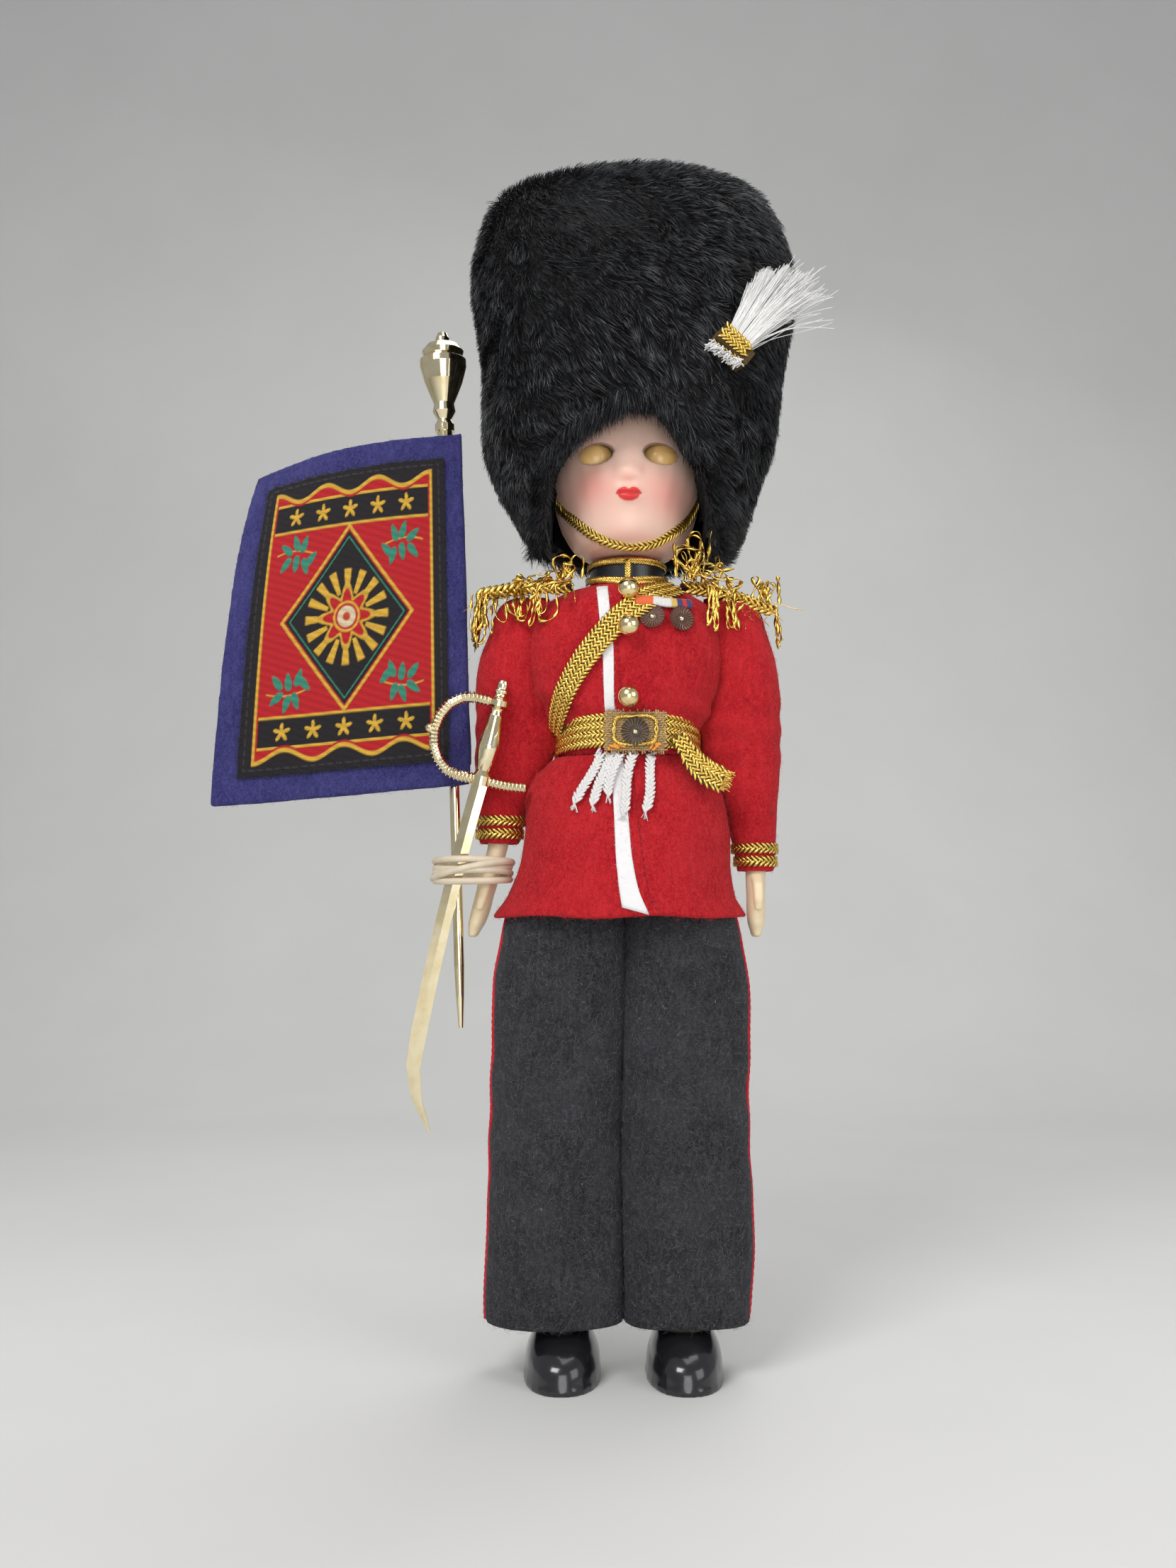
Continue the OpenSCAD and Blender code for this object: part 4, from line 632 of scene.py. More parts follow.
RUBBER = simple("cream_rubber", (0.70, 0.60, 0.45), 0.5, 0.8, 3.0, 0.05, 0.8, Subsurface_Weight=0.1,
                Subsurface_Scale=0.001)
ELASTIC = simple("black_elastic", (0.02, 0.02, 0.02), 0.7)
THREAD = simple("dark_thread", (0.20, 0.005, 0.012), 0.8)
WHITE = simple("white_ribbon", (0.80, 0.785, 0.785), 0.75, 0.93, 2.0, 0.05, 0.35, Sheen_Weight=0.2)
YARN = simple("white_yarn", (0.74, 0.72, 0.70), 0.85, 0.85, 0.6, 0.06, 0.2, Sheen_Weight=0.3)
SILK = simple("white_silk", (0.80, 0.79, 0.77), 0.45, 0.9, 1.2, 0.01, 0.4, Sheen_Weight=0.2)
TAN = simple("tan_cloth", (0.56, 0.36, 0.14), 0.9, 0.5, 0.6, 0.16, 0.35, Sheen_Weight=0.3)
ORANGE = simple("orange_scrap", (0.80, 0.30, 0.03), 0.6, 0.8)
WADDING = simple("grey_wadding", (0.5, 0.5, 0.5), 0.95, 0.7, 1.5, 0.4, 0.8)
WEIGHT = simple("grey_weight", (0.2, 0.2, 0.21), 0.45)
HIDE = simple("fur_backing", (0.004, 0.004, 0.005), 0.9)
FACE_TONE = (0.80, 0.53, 0.43)
FACE_BACK = simple("face_plastic_plain", FACE_TONE, 0.42, 0.9, 5.0, 0.03, 1.6, Subsurface_Weight=0.2,
                   Subsurface_Scale=0.002)


def fur_look():
    k = Look("black_fur", (0.01, 0.01, 0.012), 0.42, Specular_IOR_Level=0.42)
    # Black plush tones; the grey top tone is a painted highlight on the strands
    tones = [(0.34, (0.005, 0.005, 0.006)), (0.58, (0.030, 0.031, 0.034)), (0.8, (0.12, 0.122, 0.13))]
    k.colour(k.ramp(k.noise(3.5, 4, 0.6), tones))
    k.rough(k.noise(2.0, 3), 0.33, 0.6)
    k.bump(k.noise(0.2, 2), 0.01, 0.3)
    return k.m


def ribbon_look():
    k = Look("striped_ribbon", (0.5, 0.1, 0.1), 0.6, Sheen_Weight=0.3)
    k.mottled(k.noise(0.3, 3), 0.4, (0.02, 0.01, 0.01))
    k.bump(k.wave(0.42, "X"), 0.06, 0.7)
    k.bump(k.noise(0.2, 3), 0.05, 0.5)
    return k.m


def patch_look():
    k = Look("woven_patch", (0.4, 0.05, 0.05), 0.8, Sheen_Weight=0.35, Sheen_Roughness=0.4,
             Specular_IOR_Level=0.25)
    k.mottled(k.noise(0.25, 3, 0.7), 0.35, (0.02, 0.008, 0.008))
    k.bump(k.wave(0.33, "Z"), 0.05, 0.7)
    k.bump(k.noise(0.3, 4), 0.10, 0.7)
    return k.m


FUR = fur_look()


def box_mm(node):
    a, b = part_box(node)
    return np.array(a) * 1000 - ORIGIN, np.array(b) * 1000 - ORIGIN


# Camera that matches the photo: focal length and height of the picture in its pixels, place and tilt
FOCAL_PX, PHOTO_PX, SENSOR_MM = 2037, 2212, 36
CAMERA_AT, CAMERA_TILT = (-7.5, -275, 85), 5
# Lights: name, place, size, power, aim
LIGHTS = (
    ("key", (-230, -380, 470), 240, 1.95, (0, 0, 120)),
    ("front", (20, -560, 130), 260, 0.65, (0, 0, 130)),
    ("fill", (380, -330, 240), 320, 0.7, (0, 0, 110)),
    ("top", (60, 40, 600), 320, 0.7, (0, 0, 110)),
    ("back", (160, 330, 640), 300, 0.8, (0, 0, 140)),
)
FLOOR_FRONT, FLOOR_BEND, FLOOR_SIDE, WALL_TOP = -900, 300, 1200, 1200


def add_camera():
    cam = bpy.data.cameras.new("camera")
    cam.lens, cam.sensor_width = FOCAL_PX / PHOTO_PX * SENSOR_MM, SENSOR_MM
    cam.clip_start, cam.clip_end = 0.01, 10
    o = bpy.data.objects.new("camera", cam)
    o.location = row(CAMERA_AT)
    o.rotation_euler = (math.radians(90 + CAMERA_TILT), 0, 0)
    bpy.context.scene.collection.objects.link(o)
    bpy.context.scene.camera = o


def add_lights():
    for name, at, size, power, aim in LIGHTS:
        light = bpy.data.lights.new(name, "AREA")
        light.size, light.energy = size / 1000, power
        o = bpy.data.objects.new(name, light)
        o.location = row(at)
        o.rotation_euler = (Vector(row(aim)) - Vector(row(at))).to_track_quat("-Z", "Y").to_euler()
        bpy.context.scene.collection.objects.link(o)
    world = bpy.context.scene.world or bpy.data.worlds.new("world")
    bpy.context.scene.world = world
    world.use_nodes = True
    world.node_tree.nodes["Background"].inputs["Color"].default_value = (0.9, 0.92, 0.95, 1)
    world.node_tree.nodes["Background"].inputs["Strength"].default_value = 0.40
    bpy.context.scene.view_settings.view_transform = "Standard"


def add_floor():
    """Floor that curves up into a backdrop."""
    bend = np.linspace(0.05, math.pi / 2, 60)
    y = np.concatenate([[FLOOR_FRONT, FLOOR_BEND], FLOOR_BEND * (1 + np.sin(bend)), [2 * FLOOR_BEND]])
    z = np.concatenate([[0, 0], FLOOR_BEND * (1 - np.cos(bend)), [WALL_TOP]])
    points = np.array([[x, b, c] for b, c in zip(y, z) for x in (-FLOOR_SIDE, FLOOR_SIDE)])
    k = Look("floor", (0.66, 0.655, 0.64), 0.75)
    k.colour(k.ramp(k.noise(90, 3), [(0.3, (0.645, 0.64, 0.625)), (0.7, (0.675, 0.67, 0.655))]))
    me = bpy.data.meshes.new("floor")
    me.from_pydata(row(points).tolist(), [], grid_faces(len(y), 2, False).tolist())
    me.materials.append(k.m)
    shade_smooth(me)
    floor = bpy.data.objects.new("floor", me)
    bpy.context.scene.collection.objects.link(floor)


add_camera()
add_lights()
add_floor()

# Clothes. FRONT and BACK are lines of sight from the front and from the back.
FRONT, BACK = (0, 1, 0), (0, -1, 0)
# How far each sleeve bags in towards the body: height, left, right
FULL = ((94, 0, 0), (99, 0.9, 0.8), (104, 1.3, 2.2), (110, 2.5, 4.5), (116, 4.9, 6.7), (120, 4.5, 5.7),
        (124, 2.2, 3.0), (128, 0.8, 0.8), (132, 0, 0))
# The trunk under the coat: height as a share, half width and half depth as shares
TRUNK = ((0, .96, .84), (.11, .98, .86), (.31, .87, .84), (.42, .87, .86), (.62, .95, .98), (.81, 1, 1),
         (.92, .92, .9), (.97, .72, .74), (1, .4, .5))
TRUNK_LOW, TRUNK_TALL, TRUNK_HALF_X, TRUNK_HALF_Y, CLOTH = 97, 50, 13, 9.5, 1.7
# Mesh width of the cloth's finer copies
CLOTH_MESH = 0.42
# How far the coat's body bags out at the sides: height, distance
BLOUSE = ((117.5, 0), (119.5, 1.1), (122, 2.7), (126, 3.9), (131, 4.4), (137, 4.2), (141, 3.6), (144, 2.0),
          (146.5, 0.2))


def creases(size, depth, seed):
    return lambda p, n: p + n * (noise(p, size, seed) * depth)[:, None]


def sleeve_move(side):
    """Soft folds at the inside of the elbow, and pulls that run round the sleeve."""
    def move(p, n):
        z = p[:, 2]
        inner = ease((21.5 - np.abs(p[:, 0])) / 6)
        fold = np.sin((z - 118) * 1.15 + 1.2 * np.sin(p[:, 0] * 0.5 + side)) * np.exp(-((z - 119) / 8.5) ** 2)
        h = 0.42 * fold * (0.35 + 0.65 * inner) + 0.22 * noise(p, 9, 5 + side)
        top = ease((146 - z) / 5)
        q = p + n * (h * top * ease((z - 93) / 7))[:, None]
        full = table(FULL, 1 if side == LEFT else 2, z)
        q[:, 0] -= side * full * ease((24.5 - np.abs(p[:, 0])) / 7)
        return q
    return move


def mid_x(z):
    """The coat's middle, which swings 1 mm to the doll's right towards the hem."""
    return -np.clip((98.32 - z) / 14.72, 0, 1)


def blouse(p, n):
    """The coat's body bags out over the belt, and its sides meet the sleeves."""
    z = p[:, 2]
    t = np.clip((z - TRUNK_LOW) / TRUNK_TALL, 0, 1)
    h1, h2 = table(TRUNK, 1, t) * TRUNK_HALF_X + CLOTH, table(TRUNK, 2, t) * TRUNK_HALF_Y + CLOTH
    more = table(BLOUSE, 1, z)
    w = more / 4.4
    x, y = (p[:, 0] - mid_x(z)) / h1, p[:, 1] / h2
    r = np.hypot(x, y)
    c, s = x / np.maximum(r, 1e-6), y / np.maximum(r, 1e-6)
    power = 1 - 0.26 * w
    q = np.stack([mid_x(z) + r * (h1 + more) * np.sign(c) * np.abs(c) ** power - 0.5 * w,
                  r * h2 * (1 + 0.03 * w) * np.sign(s) * np.abs(s) ** power, z], 1)
    sag = 0.45 * np.sin(z * 0.9 + 0.35 * q[:, 0]) * np.exp(-((z - 122.5) / 2.6) ** 2)
    sag = sag * np.clip(np.abs(q[:, 0]) / 9 - 0.4, 0, 1)
    return q + n * (0.28 * noise(q, 11, 3) + sag)[:, None]


def skirt_move(p, n):
    """The hem kicks out a little, more on the doll's right."""
    low = ease((95 - p[:, 2]) / 13)
    q = p + n * (0.35 * noise(p, 14, 4) * ease((114 - p[:, 2]) / 8))[:, None]
    q[:, 0] += low * np.where(p[:, 0] < 0, -2.0, 0.9) * np.clip(np.abs(p[:, 0]) / 16, 0, 1) ** 2
    q[:, 2] += low * 0.25 * np.sin(p[:, 0] * 0.3)
    q[:, 0] -= 1.7 * np.exp(-((p[:, 2] - 108.5) / 6.5) ** 2) * ease((-p[:, 0] - 5) / 8)
    return q


tunic = soft_copy("tunic_body", "tunic", CLOTH_MESH, 6, blouse)
place(tunic, RED, "torso", ["tunic_body"])
skirt = soft_copy("tunic_skirt", "skirt", CLOTH_MESH, 6, skirt_move)
place(skirt, RED, "torso", ["tunic_skirt"])
fuzz(tunic, "tunic_fibres", 10000, RED_HAIR, "torso", 1.0, 0.04, 0.4, 11)
fuzz(skirt, "skirt_fibres", 15000, RED_HAIR, "torso", 1.1, 0.04, 0.45, 12)
sleeves = {}
for side, word in SIDES:
    o = soft_copy(f"{word}_sleeve", f"{word}_sleeve_cloth", CLOTH_MESH, 5, sleeve_move(side))
    place(o, RED, f"{word}_arm_body", [f"{word}_sleeve"])
    fuzz(o, f"{word}_sleeve_fibres", 6000, RED_HAIR, f"{word}_arm_body", 0.85, 0.04, 0.45, 13 + side)
    sleeves[side] = o
coat = tree(tunic, skirt)

# White strip down the front: height, x of its two edges
EDGES = ((84.0, -1.0, 3.6), (85.6, -1.35, 3.0), (87.5, -1.7, 2.0), (90, -2.0, 1.3), (94.7, -2.46, 0.45),
         (101.6, -2.7, -0.1), (112, -3.2, -0.9), (123, -4.5, -2.7), (133, -4.8, -2.75), (144.8, -5.9, -3.8))


def panel(rows_, top, bottoms, count):
    """A ribbon between two edges given by height; its lower end may slant."""
    u, v = np.meshgrid(np.linspace(0, 1, 9), np.linspace(0, 1, count))
    z = mix(top, mix(bottoms[0], bottoms[1], u), v)
    x = mix(table(rows_, 1, z), table(rows_, 2, z), u)
    hits = [seat(coat, (a, 0, b), FRONT) for a, b in zip(x.ravel(), z.ravel())]
    q = np.array([h[0] for h in hits]).reshape(count, 9, 3)
    for _ in range(3):
        q[1:-1] = (q[:-2] + 2 * q[1:-1] + q[2:]) / 4
    n = np.tile([0, -1.0, 0.05], (count, 9, 1))
    front, back = q + n * (0.30 + 0.05 * np.sin(v * 9)[..., None]), q + n * 0.02
    ring = np.concatenate([front, back[:, ::-1]], 1)
    return ring.reshape(-1, 3), np.concatenate([grid_faces(count, 18), *end_caps(9, count)])


def make_front_strip():
    """White ribbon down the front, above and below the belt."""
    s = Shape().add(*panel(EDGES, 145.6, (121.5, 121.5), 24)).add(*panel(EDGES, 113.5, (85.5, 84.2), 36))
    white_strip = build("white_strip", s, WHITE, "torso", ["front_strip"])
    fuzz(white_strip, "strip_fibres", 2600, SILK, "torso", 0.55, 0.035, 0.6, 21)


# Stitches beside the strip and down the back: top, foot, count, distance from the strip's line, or None
STRIP_LINE = ((83.0, 3.6), (86, 0.9), (92, -0.4), (102, -1.6), (122, -3.6), (143.5, -4.9))
SEAMS = ((134.5, 121.5, 30, 2.4), (112, 84.5, 40, 3.2), (112, 84.5, 40, None), (144, 121.5, 30, None))
BACK_SEAM_X = 0.5


def stitches(points, way, length=0.9, gap=0.45, r=0.09):
    path, n = seated(coat, points, way, 0.02, 4)
    arc = arc_of(path)
    lines, ups = [], []
    for start in np.arange(0, arc[-1] - length, length + gap):
        at = np.linspace(start, start + length, 5)
        up = read_at(at, arc, n)
        lines.append(read_at(at, arc, path) + up * (r * np.array([-0.8, 0.6, 1, 0.6, -0.8]))[:, None])
        ups.append(up)
    return rods(np.array(lines), r, 6, np.array(ups))


def make_stitches():
    """Dark stitches along the seams."""
    s = Shape()
    for top, foot, count, beside in SEAMS:
        z = np.linspace(top, foot, count)
        x = 0 * z + BACK_SEAM_X if beside is None else table(STRIP_LINE, 1, z) + beside
        s.add(*stitches(np.stack([x, 0 * z, z], 1), BACK if beside is None else FRONT))
    build("coat_stitches", s, THREAD, "torso")


# Degrees by which the threads of a braid slant
BRAID_SLANT = 38


def braid_band(name, path, n, width, lanes, body, stands_for=(), thick=0.5, seed=0, pitch=0.92, thread=0.27,
               scale=1.0):
    """A braid of plaited thread on a backing painted dark as shade between its threads."""
    s = Shape().add(*strip(path, n, width * 0.96 * np.asarray(scale), thick, 0.0, 5))
    build(name + "_base", s, SHADE_BACKING, body, stands_for)
    s = Shape().add(*plait(path, n, width, lanes, pitch, thread, BRAID_SLANT, thick + 0.1, seed, scale))
    return build(name, s, BRAID, body)


# Sash from the doll's left shoulder across the chest
SASH = ((-13.2, 118.6), (-13.1, 121.0), (-11.6, 125.6), (-8.8, 130.6), (-4.8, 135.6), (-1.5, 138.9),
        (1.7, 141.6), (5.0, 143.6), (8.8, 145.2))


def make_sash():
    """Braid that narrows upwards."""
    p, n = seated(coat, front_line(SASH[::-1], 60, 8), FRONT, 0.42, 12)
    narrowing = np.interp(np.linspace(0, 1, 60), (0, 0.4, 0.8, 1), (1.12, 1.0, 0.86, 0.72))
    braid_band("sash_braid", p, n, 4.5, 6, "torso", ["sash"], seed=31, thick=0.45, scale=narrowing)


# Belt: round the waist, seated on the tunic and skirt, a little higher in front than behind
BELT_Z, BELT_X, BELT_Y, BELT_TILT = 117, 13.9, 10.7, 1.3


def make_belt():
    """A closed braid on the cloth, smoothed along its length."""
    a = np.linspace(0, TAU, 121)
    rough_p = np.stack([BELT_X * np.sin(a), -BELT_Y * np.cos(a), BELT_Z + BELT_TILT * np.cos(a)], 1)
    p, n = [], []
    for q in rough_p:
        c, m = seat(coat, q, (-q[0], -q[1] * 1.2, 0), 20)
        p.append(c)
        n.append(m * (1, 1, 0.0))
    p, n = np.array(p), unit(n)
    for _ in range(6):
        p = (np.roll(p, 1, 0) + 2 * p + np.roll(p, -1, 0)) / 4
        n = unit(np.roll(n, 1, 0) + 2 * n + np.roll(n, -1, 0))
    p = p + n * 0.35
    p[-1], n[-1] = p[0], n[0]
    braid_band("belt_braid", p, n, 6.1, 8, "torso", ["belt"], seed=32, thick=0.5, pitch=0.86)


# Tail of the belt, with a frayed end
TAIL = ((8.6, 117.2), (9.8, 115.0), (11.2, 112.3), (13.5, 109.9), (16.6, 108.5))


def make_belt_tail():
    """The braid's loose end stands off the coat and frays."""
    p, n = seated(coat, front_line(TAIL, 40, 8), FRONT, 0.8, 8)
    t = np.linspace(0, 1, 40)
    p[:, 1] = np.minimum(p[:, 1], -9.8 - 0.6 * t)
    n = unit(np.stack([mix(0.05, 0.35, t), np.full(40, -1.0), np.full(40, 0.12)], 1))
    braid_band("belt_tail_braid", p, n, 4.3, 5, "torso", ["belt_tail"], seed=33, thick=0.4,
               pitch=1.0, thread=0.3, scale=mix(0.66, 1.12, ease(t * 1.2)))
    g = np.random.default_rng(34)
    onward = unit(p[-1] - p[-2])
    across = unit(np.cross(onward, n[-1]))
    u = np.linspace(0, 1, 6)[:, None]
    ends = []
    for _ in range(46):
        root = p[-1] + across * g.uniform(-2.0, 2.0) + n[-1] * g.uniform(0.1, 0.8)
        way = unit(onward + across * g.normal(0, 0.35) + n[-1] * g.normal(0.1, 0.2))
        ends.append(root + way * u * g.uniform(0.7, 1.9) + across * g.normal(0, 0.3) * u**2)
    build("belt_tail_fray", Shape().add(*rods(np.array(ends), 0.1, 5)), BRAID, "torso")


# Collar: black satin with braid along the top, a braid V at the bottom, and a bar in front
COLLAR_R, COLLAR_BRAID_Z, VEE_Z = 7.25, 150.75, 148.0


def make_collar():
    """Braids on the satin solid."""
    a = np.linspace(0, TAU, 121)
    dress("collar", SATIN)
    out = np.stack([np.sin(a), -np.cos(a), 0 * a], 1)
    braid_band("collar_top_braid", out * COLLAR_R + np.array([0, 0, COLLAR_BRAID_Z]), out, 1.0, 2, "torso",
               seed=35, thick=0.2, pitch=0.5, thread=0.19)
    u = np.linspace(-1, 1, 61)
    b = u * math.radians(88)
    out = np.stack([np.sin(b), -np.cos(b), 0 * b], 1)
    vee = out * (COLLAR_R + 0.3) + np.outer(VEE_Z - 1.4 * (1 - np.abs(u)) ** 1.2, [0, 0, 1])
    braid_band("collar_low_braid", vee, out, 1.2, 2, "torso", seed=36, thick=0.25, pitch=0.5, thread=0.21)
    bar = np.stack([np.zeros(12), np.full(12, -COLLAR_R - 0.35), np.linspace(150.9, 146.6, 12)], 1)
    braid_band("collar_bar", bar, np.tile([0, -1.0, 0], (12, 1)), 1.0, 2, "torso", seed=37,
               thick=0.3, pitch=0.5, thread=0.2)


# Ribbon bar: where each stripe ends, as a share of its length, and its colour
RED_STRIPE, NAVY_STRIPE = (0.62, 0.01, 0.02), (0.03, 0.035, 0.14)
STRIPES = ((0.31, (0.85, 0.14, 0.02)), (0.64, (0.82, 0.80, 0.76)), (0.74, (0.75, 0.5, 0.12)),
           (0.84, NAVY_STRIPE), (0.9, RED_STRIPE), (1.01, NAVY_STRIPE))


def make_ribbon_bar():
    """A striped ribbon, laid on the chest."""
    u = np.linspace(0, 1, 60)
    colours = np.array([next(c for end, c in STRIPES if a < end) for a in u])
    line = np.stack([mix(1.3, 11.3, u), 0 * u, 142.0 - 0.5 * u + 0.1 * np.sin(u * 7)], 1)
    p, n = seated(coat, line, FRONT, 0.75, 8)
    pts, faces = strip(p, n, 2.0, 0.4, 0.2, 9)
    build("ribbon_bar", Shape().add(pts, faces, np.repeat(colours, len(pts) // 60, 0)),
          ribbon_look(), "torso", ["medal_bar"])


# Cup sequin from its hole out and back below: radius as a share, height as a share of its depth
CUP = ((0.14, 0), (0.18, 0.10), (0.3, 0.12), (0.42, 0.10), (0.5, 0.16), (0.7, 0.3), (0.88, 0.5), (0.97, 0.62),
       (1.0, 0.55), (0.9, 0.2), (0.6, -0.1), (0.3, -0.2), (0.14, -0.2))


def cup(centre, way, r, depth, dark, light, ribs=22):
    """Cup sequin: a dished disc cut by radial slits, with a hole, painted lighter along its outer ribs as
    highlights.
    """
    way = unit(way)
    e1 = unit(np.cross(way, [0, 0, 1.0]))
    e2 = np.cross(e1, way)
    m = ribs * 8
    a = TAU * np.arange(m) / m
    fold = np.abs(np.cos(ribs * a / 2)) ** 0.6
    pts, paints = [], []
    # Painted highlight along the ribs of the outer rings
    rib_glint = np.clip((1 - fold) * 1.6 - 0.3, 0, 1)
    for q, h in CUP:
        deep = np.clip((q - 0.36) * 4, 0, 1) * (1 - fold)
        rad = r * q * (1 - 0.10 * deep * (q > 0.9))
        up = depth * h - 0.42 * depth * deep
        pts.append(centre + np.outer(rad * np.cos(a), e1) + np.outer(rad * np.sin(a), e2) + np.outer(up, way))
        paints.append(mix(np.array(dark), np.array(light), (rib_glint * (q > 0.45))[:, None]))
    i, last = np.arange(m), (len(CUP) - 1) * m
    close = np.stack([last + i, last + (i + 1) % m, (i + 1) % m, i], -1)
    return np.concatenate(pts), np.concatenate([grid_faces(len(CUP), m), close]), np.concatenate(paints)


def dome(top, out, r, sag):
    """A small round cap whose crown is at top and faces out."""
    ang = TAU * np.arange(16) / 16
    disc = np.stack([np.cos(ang), 0 * ang, np.sin(ang)], 1)
    rings = [top - out * (sag * q * q) + disc * (r * q) for q in (0.02, 0.4, 0.75, 1.0)]
    return np.concatenate(rings), grid_faces(4, 16)


def make_chest_sequins():
    """Two sequins under the ribbon bar."""
    s, domes = Shape(), Shape()
    for x, z, way in ((4.3, 138.9, (-0.1, -1, 0.25)), (9.6, 138.6, (0.3, -1, 0.15))):
        c, m = seat(coat, (x, 0, z), FRONT)
        s.add(*cup(c + m * 0.8, way, 2.4, 0.55, (0.055, 0.016, 0.007), (0.32, 0.15, 0.085)))
        domes.add(*dome(c + m * 1.05, m, 0.4, 0.2))
    build("chest_sequins", s, SEQUIN, "torso", ["medal_sequins"])
    build("chest_sequin_centres", domes, BEAD, "torso")


# Buttons: a ball for each of the solid's three beads, told apart by the two widest gaps in height
COLLAR_FOOT = 143.5


def make_buttons():
    """Round beads, moved back to the cloth."""
    s = Shape()
    spots = points_of(nodes["buttons"])
    ang = TAU * np.arange(24) / 24
    order = np.sort(spots[:, 2])
    gaps = np.sort(np.argsort(np.diff(order))[-2:])
    limits = [-1e3, *[(order[i] + order[i + 1]) / 2 for i in gaps], 1e3]
    t = np.linspace(0.09, math.pi - 0.09, 14)
    profile = [(0.05, 0.86), *zip(np.sin(t), np.cos(t)), (0.05, -0.86)]
    for bottom, top in zip(limits[:-1], limits[1:]):
        at = spots[(spots[:, 2] > bottom) & (spots[:, 2] < top)]
        c = (at.min(0) + at.max(0)) / 2
        r = (at.max(0) - at.min(0))[2] / 2
        if c[2] < COLLAR_FOOT:
            c[1] = max(seat(coat, (c[0], 0, c[2]), FRONT)[0][1] - r - 0.75, c[1])
        ball = [c + r * np.stack([w * np.cos(ang), w * np.sin(ang), np.full(24, h)], 1) for w, h in profile]
        s.add(np.concatenate(ball), grid_faces(16, 24))
    build("button_beads", s, BEAD, "torso", ["buttons"])


def squared(wave):
    """A cosine or sine flattened, so that the ring it draws is nearly a rectangle."""
    return np.sign(wave) * np.abs(wave) ** 0.45


# Buckle: a frayed square of coarse cloth, a gold cord ring and a sequin
BUCKLE_X, BUCKLE_Z = 1.16, 117.8
BUCKLE_Y = seat(coat, (BUCKLE_X, 0, BUCKLE_Z), FRONT)[0][1] - 1.35


def make_buckle_cloth():
    """Coarse cloth of separate threads, with a backing."""
    bx, by, bz = BUCKLE_X, BUCKLE_Y, BUCKLE_Z
    g = np.random.default_rng(41)
    warp = []
    for i, x in enumerate(np.linspace(-5.2, 5.2, 25)):
        zz = np.linspace(-3.4 - g.uniform(0.1, 0.9), 3.4 + g.uniform(0.1, 0.8), 40)
        wave = 0.11 * np.sin(math.pi * (zz / 0.42 + i))
        y = by - wave - 0.02 * x * x * 0.1
        warp.append(np.stack([bx + x + 0.05 * np.sin(zz * 2 + i), y, bz + zz], 1))
    weft = []
    for i, zz in enumerate(np.linspace(-3.4, 3.4, 17)):
        x = np.linspace(-5.2 - g.uniform(0.1, 0.9), 5.2 + g.uniform(0.1, 0.9), 40)
        wave = 0.11 * np.sin(math.pi * (x / 0.43 + i + 1))
        weft.append(np.stack([bx + x, by - wave - 0.02 * x * x * 0.1, bz + zz + 0.04 * np.sin(x * 3 + i)], 1))
    s = Shape().add(*rods(np.array(warp), 0.17, 5)).add(*rods(np.array(weft), 0.16, 5))
    u = np.linspace(-1, 1, 12)
    back = np.stack([bx + 5.0 * u, np.full(12, by + 0.25), np.full(12, bz)], 1)
    s.add(*strip(back, np.tile([0, -1.0, 0], (12, 1)), 6.6, 0.2, 0, 5))
    build("buckle_cloth", s, TAN, "torso", ["buckle_patch"])


def make_buckle_ring():
    """A ring of two twisted plies, and a cup sequin in it."""
    bx, by, bz = BUCKLE_X, BUCKLE_Y, BUCKLE_Z
    a = np.linspace(0, TAU, 121)
    s = Shape()
    for ply in range(2):
        ph = ply * math.pi + a * 17
        x = (3.9 * squared(np.cos(a)) + 0.12 * np.sin(3 * a)) * (1 + 0.07 * np.cos(ph))
        z = (2.6 * squared(np.sin(a)) + 0.1 * np.cos(5 * a)) * (1 + 0.09 * np.cos(ph))
        ring = soften(np.stack([bx + x, by - 0.5 - 0.24 * np.sin(ph), bz + 0.2 + z], 1), 2)
        s.add(*rods(ring, 0.21, 8, (0, -1, 0)))
    build("buckle_ring", s, BRAID, "torso", ["buckle_cord"])
    s = Shape().add(*cup(np.array([bx, by - 0.55, bz - 0.1]), (0, -1, 0.05), 2.6, 0.8, (0.030, 0.014, 0.008),
                         (0.40, 0.30, 0.16)))
    build("buckle_sequin_cup", s, SEQUIN, "torso", ["buckle_sequin"])
    centre = dome(np.array([bx, by - 0.95, bz - 0.1]), np.array([0, -1.0, 0]), 0.45, 0.25)
    build("buckle_centre", Shape().add(*centre), BEAD, "torso")


def make_buckle_scraps():
    """Orange scraps at the buckle's lower corners."""
    bx, by, bz = BUCKLE_X, BUCKLE_Y, BUCKLE_Z
    g = np.random.default_rng(42)
    u = np.linspace(0, 1, 6)[:, None]
    bits = []
    for cx, cz in ((bx - 3.9, bz - 2.6), (bx + 3.9, bz - 2.5)):
        for _ in range(10):
            root = np.array([cx + g.normal(0, 0.5), by - 0.3, cz + g.normal(0, 0.35)])
            way = np.array([g.normal(0, 0.9), -0.35, g.normal(-0.2, 0.7)])
            bits.append(root + way * u + np.array([0, 0.25, 0]) * u**2)
    s = Shape().add(*rods(np.array(bits), 0.26, 5, (0, -1, 0), 0.5))
    build("buckle_scraps", s, ORANGE, "torso")


# Tassels: knitted white chains; x at the top, then x and z of the lower end
TASSELS = ((-4.7, -9.4, 104.7), (-3.2, -6.4, 104.2), (-1.6, -4.1, 105.5), (0.9, -1.2, 102.8),
           (4.5, 2.9, 103.0))
TASSEL_TOP = 114.2


